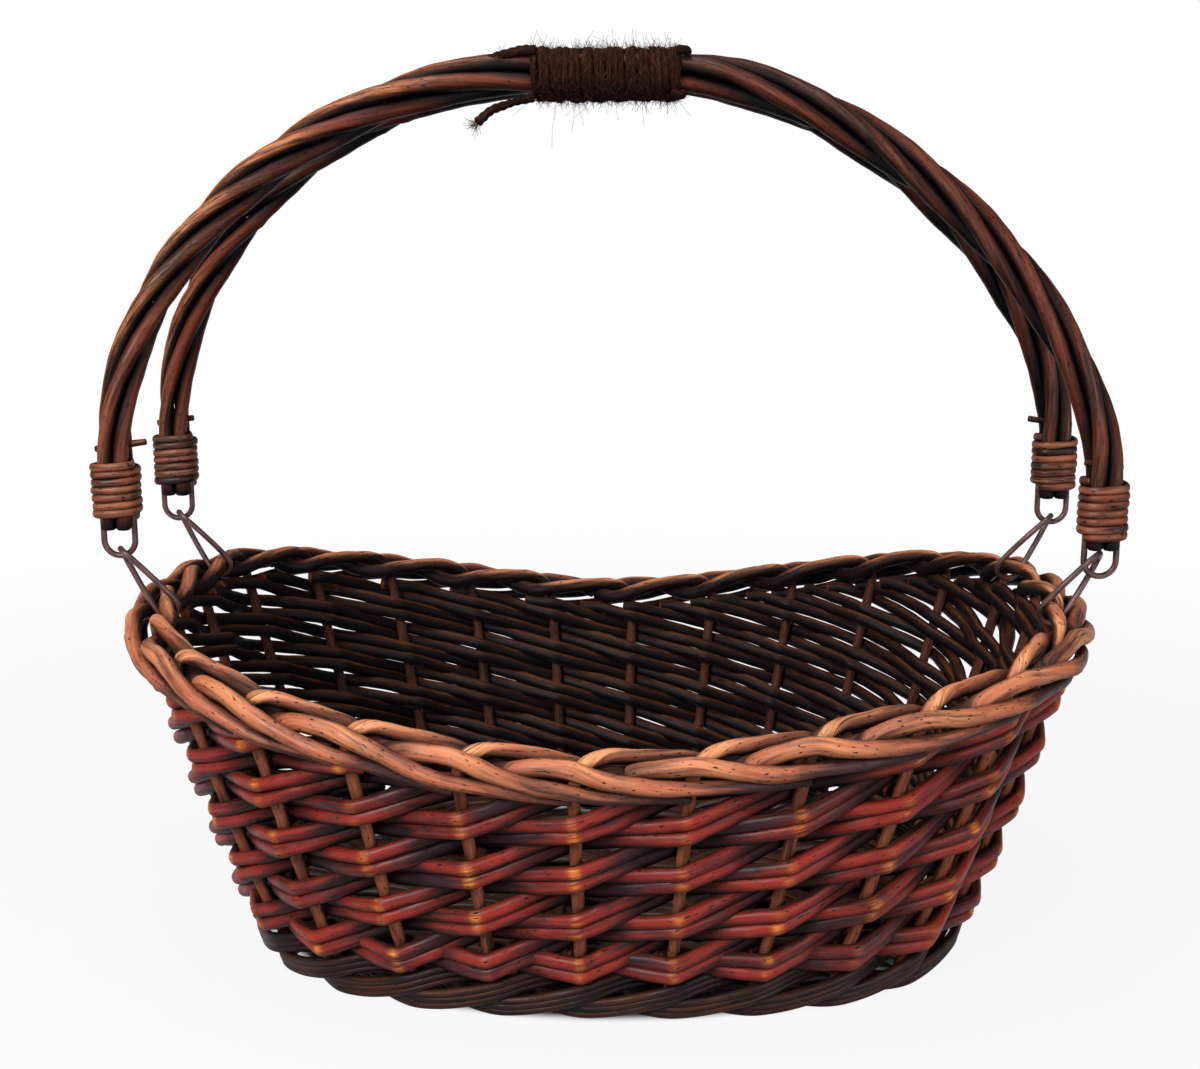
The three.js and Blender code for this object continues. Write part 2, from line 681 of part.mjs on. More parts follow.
function gripTwine() {
  const bundle = 2 * rodTopReach - TOUCH_GAP / 2;
  const stations = winding({
    centre: vec(0, 0, HANDLE_TOP_HEIGHT),
    along: X_AXIS,
    first: Y_AXIS,
    second: Z_AXIS,
    half1: archGripY + bundle,
    half2: bundle,
    corner: HANDLE_ROD_TOP_RADIUS,
    turns: GRIP_TURNS,
    pitch: GRIP_PITCH,
    thick: TWINE_THICKNESS,
    high: TWINE_THICKNESS,
  });
  const tailed = withTail(withTail(stations, TWINE_TAIL, true), TWINE_TAIL, false);
  console.log('least gap of grip_twine to itself, mm', leastGap(stations, FLAT_SECTION).toFixed(2));
  return sweep(tailed, FLAT_SECTION);
}

function binding(corner) {
  const bottom = footEndHeight - corner.drop + FOOT_ROD_STUB;
  const y = footY * (corner.arch === 'front' ? -1 : 1);
  const inward = X_AXIS.clone().multiplyScalar(-corner.sideX);
  const stations = winding({
    centre: vec(corner.sideX * footX, y, bottom + bindingHeight / 2),
    along: Z_AXIS,
    first: inward,
    second: Z_AXIS.clone().cross(inward),
    half1: loopHalfWidth + WIRE_RADIUS,
    half2: 2 * rodFootReach - TOUCH_GAP / 2,
    corner: HANDLE_ROD_FOOT_RADIUS,
    turns: BINDING_TURNS - 1,
    pitch: BINDING_PITCH,
    thick: BINDING_STRAND_THICKNESS,
    high: BINDING_STRAND_HEIGHT,
  });
  const gap = leastGap(stations, FLAT_SECTION).toFixed(2);
  console.log(`least gap of binding_${corner.name} to itself, mm`, gap);
  return sweep(withTail(stations, BINDING_TAIL, true), FLAT_SECTION);
}

function handleLoop(corner) {
  const x = corner.sideX * footX;
  const y = footY * (corner.arch === 'front' ? -1 : 1);
  const arcCentre = contactHeight - corner.drop + loopHalfWidth;
  const top = footEndHeight - corner.drop + LOOP_LEG_INSIDE;
  const stations = [];
  const put = (sideways, z) => {
    stations.push({ p: vec(x + sideways, y, z), side: Y_AXIS, a: WIRE_RADIUS, b: WIRE_RADIUS });
  };
  put(-loopHalfWidth, top);
  for (let i = 0; i <= LOOP_ARC_STEPS; i += 1) {
    const turn = PI + (i / LOOP_ARC_STEPS) * PI;
    put(Math.cos(turn) * loopHalfWidth, arcCentre + Math.sin(turn) * loopHalfWidth);
  }
  put(loopHalfWidth, top);
  return sweep(stations, FIVE_SIDES);
}

const group = new THREE.Group();

function add(name, geometry, look) {
  const material = new THREE.MeshStandardMaterial({ ...look, flatShading: true });
  const mesh = new THREE.Mesh(geometry, material);
  mesh.name = name;
  group.add(mesh);
}

for (let k = 0; k < STAKE_COUNT; k += 1) {
  add(`stake_${k + 1}`, sweep(stakeRod(k), FIVE_SIDES), STAKE_WILLOW);
}

for (let first = 0, i = 1; first < STAKE_COUNT; first += PAIRS_PER_GROUP, i += 1) {
  const count = Math.min(PAIRS_PER_GROUP, STAKE_COUNT - first);
  add(`side_weave_${i}`, weaverGroup(first, count), WEAVER_WILLOW);
}

add('foot_wale', waleRing(), WEAVER_WILLOW);
add('base_frame', baseFrame(), BASE_WILLOW);
add('base_weave', baseWeave(), BASE_WILLOW);

for (const arch of ['front', 'back']) {
  for (let rod = 0; rod < 4; rod += 1) {
    add(`handle_${arch}_rod_${rod + 1}`, handleRod(arch, rod), HANDLE_WILLOW);
  }
}
add('grip_twine', gripTwine(), JUTE);

for (const corner of CORNERS) {
  add(`binding_${corner.name}`, binding(corner), BINDING_WILLOW);
  add(`handle_loop_${corner.name}`, handleLoop(corner), WIRE);
  add(`rim_link_${corner.name}`, linkRing(corner), WIRE);
}

export default group;
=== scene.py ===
# Looks of the oval willow basket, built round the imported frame.
# Lengths are millimetres in the frame's axes: X along the basket, Y to the back, Z up.
import json
import math

import bpy
import numpy as np
from mathutils import Matrix, Vector


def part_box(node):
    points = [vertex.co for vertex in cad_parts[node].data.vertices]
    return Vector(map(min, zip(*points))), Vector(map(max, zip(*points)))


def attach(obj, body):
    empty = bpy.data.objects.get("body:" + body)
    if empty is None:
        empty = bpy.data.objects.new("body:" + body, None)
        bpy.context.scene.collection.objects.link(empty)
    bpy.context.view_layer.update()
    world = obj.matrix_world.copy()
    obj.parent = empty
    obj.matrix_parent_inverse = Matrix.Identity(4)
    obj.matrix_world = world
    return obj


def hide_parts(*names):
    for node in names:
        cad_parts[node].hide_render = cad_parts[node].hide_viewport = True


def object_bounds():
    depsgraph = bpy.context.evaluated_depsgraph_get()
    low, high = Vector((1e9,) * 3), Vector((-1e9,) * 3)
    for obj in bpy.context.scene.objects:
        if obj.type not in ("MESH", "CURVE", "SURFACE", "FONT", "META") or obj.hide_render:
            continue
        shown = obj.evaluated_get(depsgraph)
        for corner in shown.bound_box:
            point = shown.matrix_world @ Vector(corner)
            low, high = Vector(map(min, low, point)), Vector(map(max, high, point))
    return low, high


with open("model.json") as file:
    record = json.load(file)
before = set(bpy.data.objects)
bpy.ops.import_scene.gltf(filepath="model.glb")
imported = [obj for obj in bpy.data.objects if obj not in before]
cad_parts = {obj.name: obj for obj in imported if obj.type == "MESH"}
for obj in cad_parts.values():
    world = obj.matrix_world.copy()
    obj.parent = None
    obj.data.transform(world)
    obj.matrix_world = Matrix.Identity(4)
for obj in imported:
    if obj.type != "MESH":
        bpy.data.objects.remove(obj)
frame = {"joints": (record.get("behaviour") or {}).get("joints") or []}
CAD_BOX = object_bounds()

MM = 0.001
PI = math.pi
TURN = 2 * PI

# Wall: an oval that widens from the base to a saddle-shaped rim
RIM_LENGTH = 410
RIM_DEPTH = 300
BASE_LENGTH = 312
BASE_DEPTH = 229
OVAL_POWER = 2.67
RIM_LOW_HEIGHT = 115
RIM_END_RISE = 35
SADDLE_POWER = 1.5
FLARE_POWER = 0.84
OVAL_STEPS = 1440
SLOPE_TURN = 0.004
SLOPE_LIFT = 1.5

# Stakes and border
STAKE_COUNT = 26
STAKE_RADIUS = 2.55
STAKE_FOOT_HEIGHT = 2.5
STAKE_TOP_BELOW_RIM = 17
STAKE_STATIONS = 9
END_CENTRE_OFFSET = 0.7
BORDER_ROD_RADIUS = 3.75
BORDER_SHIFT = -0.6
BORDER_MIDDLE_OUT = 0.5
BORDER_MIDDLE_UP = -1.0
BORDER_STATIONS = 60
ROD_STEP = 2.2

# Route of a stake through the border: stakes passed, outward, up, radius
BORDER_ROUTE = (
    (0.0, -2.0, -8.0, STAKE_RADIUS),
    (0.08, -0.9, 3.0, 2.8),
    (0.3, -2.6, 5.2, 3.2),
    (0.7, -5.6, 3.6, 3.5),
    (1.0, -7.4, 0.6, BORDER_ROD_RADIUS),
    (1.2, -5.4, -3.2, BORDER_ROD_RADIUS),
    (1.42, 0.6, -2.8, BORDER_ROD_RADIUS),
    (1.65, 4.6, 1.2, BORDER_ROD_RADIUS),
    (2.0, 6.8, 2.8, BORDER_ROD_RADIUS),
    (2.35, 8.5, -0.7, 3.6),
    (2.7, 9.0, -4.2, 3.3),
    (3.1, 8.8, -6.4, 2.95),
    (3.6, 6.6, -9.4, 2.4),
    (4.0, 4.2, -11.4, 1.9),
)

# Side weave
WEAVER_ROD_RADIUS = 2.72
WEAVER_PITCH = 11.3
WEAVER_END_STRETCH = 0.113
WEAVE_BOTTOM_HEIGHT = 19.2
WEAVE_TOP_BELOW_RIM = 9.5
PAIRS_PER_GROUP = 3
WEAVER_START_ROW = -1.15
WEAVER_START_CLIMB = 0.3
WEAVER_SQUEEZE = 2.6
WEAVER_TALL = 1.2
WEAVER_TUCK = 0.25
WEAVER_TUCKED_SHARE = 0.7
WEAVER_ROWS = 16
WEAVER_ROW_STEP = 0.05
WORN_BENDS = 20
PAIR_SPREAD = 0.26
WEAVER_REACH = 6.1
WEAVER_STEP = 1.6

# Foot. A strand's height over three stakes: stakes passed, share of the rise
FOOT_ROD_RADIUS = 1.95
FOOT_LOW = 2.2
FOOT_RISE = 8.6
FOOT_ROD_LIFT = 2.75
FOOT_ROD_LEAN = 0.6
FOOT_STATIONS = 5
WALE_STRANDS = 3
WALE_REACH = 6.3
WALE_INNER_REACH = 8.3
WALE_RISE = ((0, 0.4, 1, 1.5, 1.8, 2.2, 2.6, 3), (0, 0.2, 0.9, 1.55, 1.35, 0.45, 0, 0))

# Base. The rods and sticks are wider than thick, and a row waves over and under the sticks
HOOP_RADIUS = 3
HOOP_POINTS = 240
BASE_MIDDLE = 6.5
BASE_STICK_SPACING = 44
BASE_STICK_END_GAP = 7
BASE_STICK_HALF_WIDTH = 3.4
BASE_STICK_FLATNESS = 0.62
BASE_STICK_POINTS = 60
BASE_WEAVER_PITCH = 20.6
BASE_RODS_PER_ROW = 3
BASE_ROD_HALF_WIDTH = 4.0
BASE_ROD_FLATNESS = 0.52
BASE_ROD_POINTS = 200
BASE_ROD_EDGE_GAP = 3
BASE_ROD_END_GAP = 2
BASE_LAST_SHARE = 0.995
BASE_WAVE = 4.2
BASE_WAVE_POWER = 0.6

# Handle
HANDLE_TOP_HEIGHT = 384
HANDLE_SPAN = 430
HANDLE_ROD_TOP_RADIUS = 3.9
HANDLE_ROD_FOOT_RADIUS = 3.35
ROD_TOP_REACH = 4.0
ROD_FOOT_REACH = 3.4
GRIP_HALF_LENGTH = 33
ARCH_GRIP_Y = 8.9
ARCH_POWER_LEFT = 1.9
ARCH_POWER_RIGHT = 1.66
ARCH_POINTS = 90
ARCH_SLOPE_TURN = 1e-3
RODS_PER_ARCH = 4
TWIST_TURNS = 1.25
TWIST_EASE = 0.35
FOOT_END_HEIGHT = 188
FOOT_ROD_STUB = 4
STUB_LENGTH = 6.0
FOOT_Y = 44.092
FRONT_RIGHT_DROP = 7

# Side along the basket, side across it, how far the foot hangs lower
CORNERS = {
    "front_left": (-1, -1, 0), "front_right": (1, -1, FRONT_RIGHT_DROP),
    "back_left": (-1, 1, 0), "back_right": (1, 1, 0),
}

# Bindings. A pin's reach: outward and inward from the foot's middle
BINDING_HEIGHT = 27.3
BINDING_TURNS = 7.08
BINDING_PITCH = 3.45
BINDING_POWER = 3.0
BINDING_CLEARANCE = 1.25
BINDING_SIDE_CLEARANCE = 1.15
SKEIN_THICKNESS = 1.12
SKEIN_SHAPE = 1.62
SKEIN_TUCK = 0.72
SKEIN_POINTS = 48
PIN_RADIUS = 1.5
PIN_REACH = {
    "front_left": (8.4, 14.5), "front_right": (7.6, 9),
    "back_left": (8.2, 10), "back_right": (7.6, 13.5),
}
PIN_ABOVE = 5.5
PIN_SLOPE = 0.14
PIN_POINTS = 14

# Grip
GRIP_TURNS = 24
GRIP_PITCH = 2.68
GRIP_POWER = 3.6
GRIP_CLEARANCE = 1.4
TWINE_POINTS = 60
TWINE_RADIUS = 1.5
TWINE_SIDES = 12
TAIL_RADIUS = 1.9
TAIL_STEP = 0.8
PLY_LENGTH = 6.5
HAIR_RADIUS = 0.07
HAIR_POINTS = 6
LYING_HAIR_RADIUS = 0.11
LYING_HAIRS = 2200
SHORT_HAIRS = 2400
LONG_HAIRS = 46
TAIL_HAIRS = 70
HAIR_ABOVE = 8

# Wire. A link's plane turns by its twist, in degrees, from the border to the loop
WIRE_RADIUS = 1.35
LOOP_DROP = 12
LOOP_LEG_RISE = 12
LOOP_HALF_WIDTH = 6.9
LOOP_ARC_POINTS = 40
LOOP_LEG_POINTS = 12
LINK_HALF_WIDTH = 5.6
LINK_OVER_LOOP = 3.1
LINK_BOTTOM_RADIUS = 5.45
LINK_ARC_POINTS = 28
LINK_STEP = 0.9
LINK_TWISTS = {"front_left": 70, "front_right": 66, "back_left": 75, "back_right": 75}

# Floor and light, in metres and watts. The floor shows the share FLOOR_SHADOW of its shadow near the
# part, none from FLOOR_FAR on, and all of it up to the foot's outline
FLOOR_HALF = 6.0
FLOOR_GREY = 0.45
FLOOR_SHADOW = 0.1
FLOOR_NEAR = 0.3
FLOOR_FAR = 1.1
FOOT_SHADE_IN = 1.02
FOOT_SHADE_OUT = 1.09
SKY_LIGHT = 0.24
# Place, target, size, power
LAMPS = {
    "key": ((-0.8, -1.3, 0.95), (0.0, 0.0, 0.15), 0.6, 27),
    "fill": ((1.0, -1.2, 0.5), (0.0, 0.0, 0.12), 0.9, 11),
    "top": ((-0.2, -0.3, 1.5), (0.0, 0.0, 0.2), 0.8, 15),
}

# Camera, fitted to the photograph: its frame is 1200 pixels wide
PHOTO_WIDTH = 1200
FOCAL_PIXELS = 1590
SENSOR = 36
CLIP_START = 0.01
CAMERA_PLACE = (22.30, -726.00, 324.45)
CAMERA_AHEAD = (-0.03513, 0.97952, -0.19827)
CAMERA_RIGHT = (0.99937, 0.03536, -0.00239)
CAMERA_UP = (-0.00467, 0.19823, 0.98014)

# Unevenness of every rod: wavelengths of its swelling and of its section's lean, and its end's share
SWELL_LENGTHS = (31, 12.7)
LOBE_LENGTH = 47
END_RADIUS = 0.45

rng = np.random.default_rng(26)


def mix(a, b, t):
    """From a to b by the share t: a plus t times the difference."""
    return a + (b - a) * t


def smooth(t):
    """Eases from 0 to 1: t squared times three minus twice t."""
    t = np.clip(t, 0, 1)
    return t * t * (3 - 2 * t)


def bell(x, middle, width):
    """Bell curve: e to the power of minus the square of the distance over the width."""
    return np.exp(-((x - middle) / width) ** 2)


def unit(v):
    """Each vector divided by its length."""
    return v / np.linalg.norm(v, axis=-1, keepdims=True)


def lengths_along(line):
    """Length of a line up to each of its points: the sum of the distances between them."""
    return np.concatenate([[0], np.cumsum(np.linalg.norm(np.diff(line, axis=0), axis=1))])


def spread(value, *shape):
    """A number or vector for all, or an array, as an array of floats of the given shape."""
    return np.broadcast_to(np.asarray(value, float), shape)


def points(x, y, z):
    """Points from three columns, each of them an array or one number for all."""
    return np.stack(np.broadcast_arrays(x, y, z), -1)


def superellipse(angle, half1, half2, power):
    """Superellipse in polar form: (|cos/a|^n + |sin/b|^n) to the power -1/n."""
    x = np.abs(np.cos(angle) / half1) ** power
    y = np.abs(np.sin(angle) / half2) ** power
    return (x + y) ** (-1 / power)


# Wall surface: u counts stakes round the oval from the right end, z is the height

OVAL_ANGLES = np.linspace(0, TURN, OVAL_STEPS + 1)
OVAL_REACH = superellipse(OVAL_ANGLES, RIM_LENGTH / 2, RIM_DEPTH / 2, OVAL_POWER)
OVAL_POINTS = points(OVAL_REACH * np.cos(OVAL_ANGLES), OVAL_REACH * np.sin(OVAL_ANGLES), 0)
OVAL_LENGTHS = lengths_along(OVAL_POINTS)
RIM_ROUND = OVAL_LENGTHS[-1]


def angle_at(u):
    """Angle of the place u stakes round the rim, read from the rim's length."""
    turns = (np.asarray(u, float) - END_CENTRE_OFFSET) / STAKE_COUNT
    whole = np.floor(turns)
    return np.interp((turns - whole) * RIM_ROUND, OVAL_LENGTHS, OVAL_ANGLES) + whole * TURN


def rim_height(angle):
    """Saddle: low at the middle, and rising towards both ends with the share of the half length."""
    x = superellipse(angle, RIM_LENGTH / 2, RIM_DEPTH / 2, OVAL_POWER) * np.cos(angle)
    return RIM_LOW_HEIGHT + RIM_END_RISE * (np.abs(x) / (RIM_LENGTH / 2)) ** SADDLE_POWER


def wall_at(angle, z):
    """Oval that widens from the base to the rim with a power of the height."""
    rise = np.clip(z / rim_height(angle), 0, 1) ** FLARE_POWER
    half_length = mix(BASE_LENGTH, RIM_LENGTH, rise) / 2
    half_depth = mix(BASE_DEPTH, RIM_DEPTH, rise) / 2
    r = superellipse(angle, half_length, half_depth, OVAL_POWER)
    return points(r * np.cos(angle), r * np.sin(angle), z)


def wall_outward(angle, z):
    """Normal of the wall: the cross product of short steps round it and up it."""
    around = wall_at(angle + SLOPE_TURN, z) - wall_at(angle - SLOPE_TURN, z)
    up = wall_at(angle, z + SLOPE_LIFT) - wall_at(angle, np.maximum(0, z - SLOPE_LIFT))
    return unit(np.cross(around, up))


def wall_point(u, z, out):
    """The wall's point at u and z, moved `out` along the wall's normal."""
    angle = angle_at(u)
    return wall_at(angle, z) + wall_outward(angle, z) * np.asarray(out)[..., None]


def level_outward(u):
    """Level direction square to the rim, out of the basket."""
    angle = angle_at(u)
    height = rim_height(angle)
    around = wall_at(angle + SLOPE_TURN, height) - wall_at(angle - SLOPE_TURN, height)
    return unit(points(around[..., 1], -around[..., 0], 0))


def border_point(u, out, up):
    """A point `out` and `up` from the rim line at u stakes round."""
    angle = angle_at(u)
    p = wall_at(angle, rim_height(angle)) + level_outward(u) * (out + BORDER_SHIFT)[..., None]
    p[..., 2] += up
    return p


# Rods

def resample(stations, step):
    """Straight runs between stations, cut into even steps by length. The columns after the third
    are carried along."""
    lengths = lengths_along(stations[:, :3])
    count = max(4, int(round(lengths[-1] / step)) + 1)
    places = np.linspace(0, lengths[-1], count)
    return np.stack([np.interp(places, lengths, column) for column in stations.T], 1)


def soften(rows, reach, closed=False):
    """Weighted running mean: bell weights `reach` rows wide, with the ends carried on straight."""
    half = int(math.ceil(reach * 3))
    weights = np.exp(-0.5 * (np.arange(-half, half + 1) / reach) ** 2)
    weights /= weights.sum()
    if closed:
        padded = np.concatenate([rows[-half:], rows, rows[:half]])
    else:
        before = 2 * rows[0] - rows[1:half + 1][::-1]
        after = 2 * rows[-1] - rows[-half - 1:-1][::-1]
        padded = np.concatenate([before, rows, after])
    return np.stack([np.convolve(column, weights, "valid") for column in padded.T], 1)


def waves(s, sizes, lengths):
    """Sum of sines with random starts: one for each size and wavelength."""
    total = np.zeros_like(s)
    for size, length in zip(sizes, lengths):
        total += size * np.sin(TURN * (s / length + rng.random()))
    return total


def with_ends(rows, near, far):
    """Rows with two more next to each end, at the given shares of the first and the last step."""
    count = len(rows)
    last = count - 1
    places = np.concatenate([[0, near, far], np.arange(1, last), [last - far, last - near, last]])
    flat = rows.reshape(count, -1)
    made = np.stack([np.interp(places, np.arange(count), column) for column in flat.T], 1)
    return made.reshape(len(places), *rows.shape[1:])


def rod(path, side, radius, tone=0.0, bend=0.0, inner=0.0, cut=0.0, thick=1.0, sides=12, closed=False,
        rough=0.03, knots=0.0, round_end=0.6, wall_side=None, **shading):
    """A tube along a path: centre plus side*a*cos(f) plus up*b*sin(f), where b is a times thick.
    The radius swells and thins along the rod by a sum of sines, and a knot is a bell-shaped bump on
    one side. An open rod's ends close in three small rings and a pole. tone, bend, inner and cut are
    the bark's tone, partly painted shade, its wear at bends and painted highlight, its painted shade and
    its cut end, and shading gives face_colours its painted light and shade."""
    count = len(path)
    side = spread(side, count, 3)
    radius = spread(radius, count)
    marks = np.stack([spread(x, count) for x in (tone, bend, inner, cut)], 1)
    if closed:
        ahead = unit(np.roll(path, -1, 0) - np.roll(path, 1, 0))
        steps = np.linalg.norm(path - np.roll(path, 1, 0), axis=1)
        s = np.cumsum(steps) - steps[0]
    else:
        far = min(0.9, round_end * radius[0] / np.linalg.norm(path[1] - path[0]))
        wall_side = side if wall_side is None else wall_side
        columns = (path, side, radius, marks, wall_side)
        path, side, radius, marks, wall_side = (with_ends(c, 0.3 * far, far) for c in columns)
        count = len(path)
        ahead = unit(np.gradient(path, axis=0))
        s = lengths_along(path)
    side = unit(side - ahead * np.sum(side * ahead, 1, keepdims=True))
    up = np.cross(ahead, side)
    around = (np.arange(sides) + 0.5) / sides * TURN
    if closed:
        r = spread(radius[:, None], count, sides)
    else:
        swell = 1 + waves(s, (rough, rough * 0.6), SWELL_LENGTHS)
        lobe = 1 + waves(s, (rough,), (LOBE_LENGTH,))[:, None] * np.cos(around - TURN * rng.random())
        bumps = knot_bumps(s, around, knots)
        edge = np.minimum(s, s[-1] - s) / (radius * round_end)
        shrink = mix(END_RADIUS, 1, np.sqrt(1 - (1 - np.clip(edge, 0, 1)) ** 2))
        r = (radius * swell * shrink)[:, None] * lobe + bumps
    co = path[:, None] + side[:, None] * (r * np.cos(around))[..., None]
    co = co + up[:, None] * (r * thick * np.sin(around))[..., None]
    colour = face_colours(marks, side, up, around, wall_side, **shading)
    shift = rng.random() * 7
    v = (np.arange(sides + 1) / sides * TURN) * np.mean(radius) * MM
    uv = np.stack(np.broadcast_arrays((s * MM + shift)[:, None], v[None, :]), -1)
    if closed:
        last = uv[:1].copy()
        last[..., 0] = uv[-1:, :, 0] + steps[0] * MM
        uv = np.concatenate([uv, last])
    return {"co": co, "uv": uv, "colour": colour, "closed": closed}


def knot_bumps(s, around, knots):
    """Bumps of the section, `knots` in 100 mm: a bell along the rod times a cubed cosine round it."""
    grow = np.zeros((len(s), len(around)))
    for _ in range(int(rng.poisson(knots * s[-1] / 100)) if knots else 0):
        place, turn = rng.random() * s[-1], rng.random() * TURN
        grow += 0.5 * bell(s, place, 2.4)[:, None] * np.clip(np.cos(around - turn), 0, 1) ** 3
    return grow


def face_colours(marks, side, up, around, wall_side, inward=0.0, inward_edge=0.45, top_light=0.15,
                 under=0.0, dulled=0.0, hollow=0.0):
    """The rod's colour marks, with light and shade painted in by where each face looks. inward paints
    shade on what looks away from the side vector, top_light a painted highlight on its top, and under
    paints shade on what looks down. The next option paints a browner, darker inner side with a lighter
    top edge, and the last paints shade on what looks away from wall_side."""
    colour = np.repeat(marks[:, None], len(around), 1)
    out, over = np.cos(around)[None, :], np.sin(around)[None, :]
    lifted = side[:, 2:] * out + up[:, 2:] * over
    # Painted shade on faces that look away from the side vector, less on their top, where top_light
    # paints a highlight.
    if inward:
        hidden = inward * smooth(inward_edge - 0.75 * out)
        shaded = 1 - (1 - colour[..., 2]) * (1 - hidden)
        colour[..., 2] = np.clip(shaded * (1 - top_light * smooth(1.9 * lifted - 0.7)), 0, 1)
        colour[..., 1] = colour[..., 1] * smooth(0.4 + out)
        # Painted shade and highlight: the inner side gets a lower tone, and its top edge more of the
        # bend mark.
        inside = dulled * smooth(0.4 - out)
        colour[..., 0] = colour[..., 0] - inside
        colour[..., 1] = np.clip(colour[..., 1] + 0.26 * inside * smooth(1.9 * lifted - 0.5), 0, 1)
    # Painted shade on faces that look down.
    if under:
        colour[..., 2] = np.clip(colour[..., 2] + under * smooth(0.1 - 0.95 * lifted), 0, 1)
    # Painted shade on faces that look into the basket, away from wall_side.
    if hollow:
        away = np.sum(side * wall_side, 1)[:, None] * out + np.sum(up * wall_side, 1)[:, None] * over
        shaded = smooth(-1.3 * away - 0.15) * (1 - smooth(1.6 * lifted - 0.7))
        colour[..., 2] = np.clip(colour[..., 2] + hollow * shaded, 0, 1)
    return colour


def grid_faces(rings, sides, closed, start):
    """Corner numbers of the quads between rings, and each corner's place in the ring and side grid."""
    i = np.arange(rings if closed else rings - 1)[:, None]
    j = np.arange(sides)[None, :]
    i2, j2 = (i + 1) % rings, (j + 1) % sides
    corners = np.stack([i * sides + j, i * sides + j2, i2 * sides + j2, i2 * sides + j], -1)
    spots_i = np.stack(np.broadcast_arrays(i, i, i + 1, i + 1), -1)
    spots_j = np.stack(np.broadcast_arrays(j, j + 1, j + 1, j), -1)
    spots_i, spots_j = np.broadcast_arrays(spots_i + 0 * spots_j, spots_j + 0 * spots_i)
    return corners.reshape(-1, 4) + start, spots_i.reshape(-1, 4), spots_j.reshape(-1, 4)


def add_object(name, data):
    made = bpy.data.objects.new(name, data)
    bpy.context.scene.collection.objects.link(made)
    return made


def piece(name, rods, material, body, slot, *nodes):
    """One mesh of many rods: their ring quads, and at open ends a fan of triangles to a pole."""
    vertices, colours, loops, sizes, uvs = [], [], [], [], []
    start = 0
    for r in rods:
        rings, sides = r["co"].shape[:2]
        first = start
        quads, at_i, at_j = grid_faces(rings, sides, r["closed"], first)
        loops.append(quads.ravel())
        sizes.append(np.full(len(quads), 4))
        uvs.append(r["uv"][at_i, at_j].reshape(-1, 2))
        vertices.append(r["co"].reshape(-1, 3))
        colours.append(r["colour"].reshape(-1, 4))
        start += rings * sides
        if not r["closed"]:
            j = np.arange(sides)
            for ring, flip in ((0, True), (rings - 1, False)):
                base = first + ring * sides
                fan = np.stack([base + j, base + (j + 1) % sides, np.full(sides, start)], -1)
                if flip:
                    fan = fan[:, [1, 0, 2]]
                loops.append(fan.ravel())
                sizes.append(np.full(sides, 3))
                uvs.append(np.repeat(r["uv"][ring, :sides], 3, 0))
                vertices.append(r["co"][ring].mean(0, keepdims=True))
                colours.append(r["colour"][ring, :1])
                start += 1
    vertices, colours = np.concatenate(vertices) * MM, np.concatenate(colours)
    loops, sizes, uvs = np.concatenate(loops), np.concatenate(sizes), np.concatenate(uvs)
    mesh = bpy.data.meshes.new(name)
    mesh.vertices.add(len(vertices))
    mesh.vertices.foreach_set("co", vertices.astype(np.float32).ravel())
    mesh.loops.add(len(loops))
    mesh.loops.foreach_set("vertex_index", loops.astype(np.int32))
    mesh.polygons.add(len(sizes))
    mesh.polygons.foreach_set("loop_start", (np.cumsum(sizes) - sizes).astype(np.int32))
    mesh.polygons.foreach_set("loop_total", sizes.astype(np.int32))
    mesh.polygons.foreach_set("use_smooth", np.ones(len(sizes), bool))
    mesh.update(calc_edges=True)
    mesh.uv_layers.new(name="rod_uv").data.foreach_set("uv", uvs.astype(np.float32).ravel())
    layer = mesh.attributes.new("rod", "FLOAT_COLOR", "POINT")
    layer.data.foreach_set("color", colours.astype(np.float32).ravel())
    mesh.validate()
    mesh.materials.append(material)
    obj = add_object(name, mesh)
    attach(obj, body)
    if nodes:
        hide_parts(*nodes)


def steps_to_end(count):
    """For each of count rows, how many steps it is from the nearer end."""
    return np.minimum(np.arange(count), np.arange(count)[::-1])


# Materials

def feed(tree, made, values):
    """Gives a node's inputs, by name or place, a plain value or the output of another node."""
    for key, value in values.items():
        if isinstance(value, (int, float, tuple)):
            made.inputs[key].default_value = value
        else:
            tree.links.new(value, made.inputs[key])


def node(tree, kind, values, **settings):
    made = tree.nodes.new(kind)
    for key, value in settings.items():
        setattr(made, key, value)
    feed(tree, made, values)
    return made


def noise(tree, along, around, detail, rough):
    """Noise in the rod's own coordinates, stretched by `along` and `around` per metre."""
    uv = node(tree, "ShaderNodeUVMap", {}, uv_map="rod_uv").outputs["UV"]
    place = node(tree, "ShaderNodeMapping", {"Vector": uv, "Scale": (along, around, 1)})
    values = {"Vector": place.outputs["Vector"], "Scale": 1.0, "Detail": detail, "Roughness": rough}
    return node(tree, "ShaderNodeTexNoise", values).outputs["Fac"]


def colour_marks(tree):
    """The rod's tone, its bend wear and painted highlight, its painted shade and its cut end, as the
    mesh carries them.
    """
    marks = node(tree, "ShaderNodeAttribute", {}, attribute_name="rod").outputs
    split = node(tree, "ShaderNodeSeparateColor", {"Color": marks["Color"]}).outputs
    return split["Red"], split["Green"], split["Blue"], marks["Alpha"]


def ranged(tree, value, low, high, to_low=0.0, to_high=1.0):
    values = {"Value": value, "From Min": low, "From Max": high, "To Min": to_low, "To Max": to_high}
    return node(tree, "ShaderNodeMapRange", values, interpolation_type="SMOOTHSTEP").outputs["Result"]


def math_node(tree, operation, a, b):
    return node(tree, "ShaderNodeMath", {0: a, 1: b}, operation=operation).outputs[0]


def blended(tree, factor, a, b, how="MIX"):
    values = {"Factor": factor, 6: a, 7: b}
    return node(tree, "ShaderNodeMix", values, data_type="RGBA", blend_type=how).outputs[2]


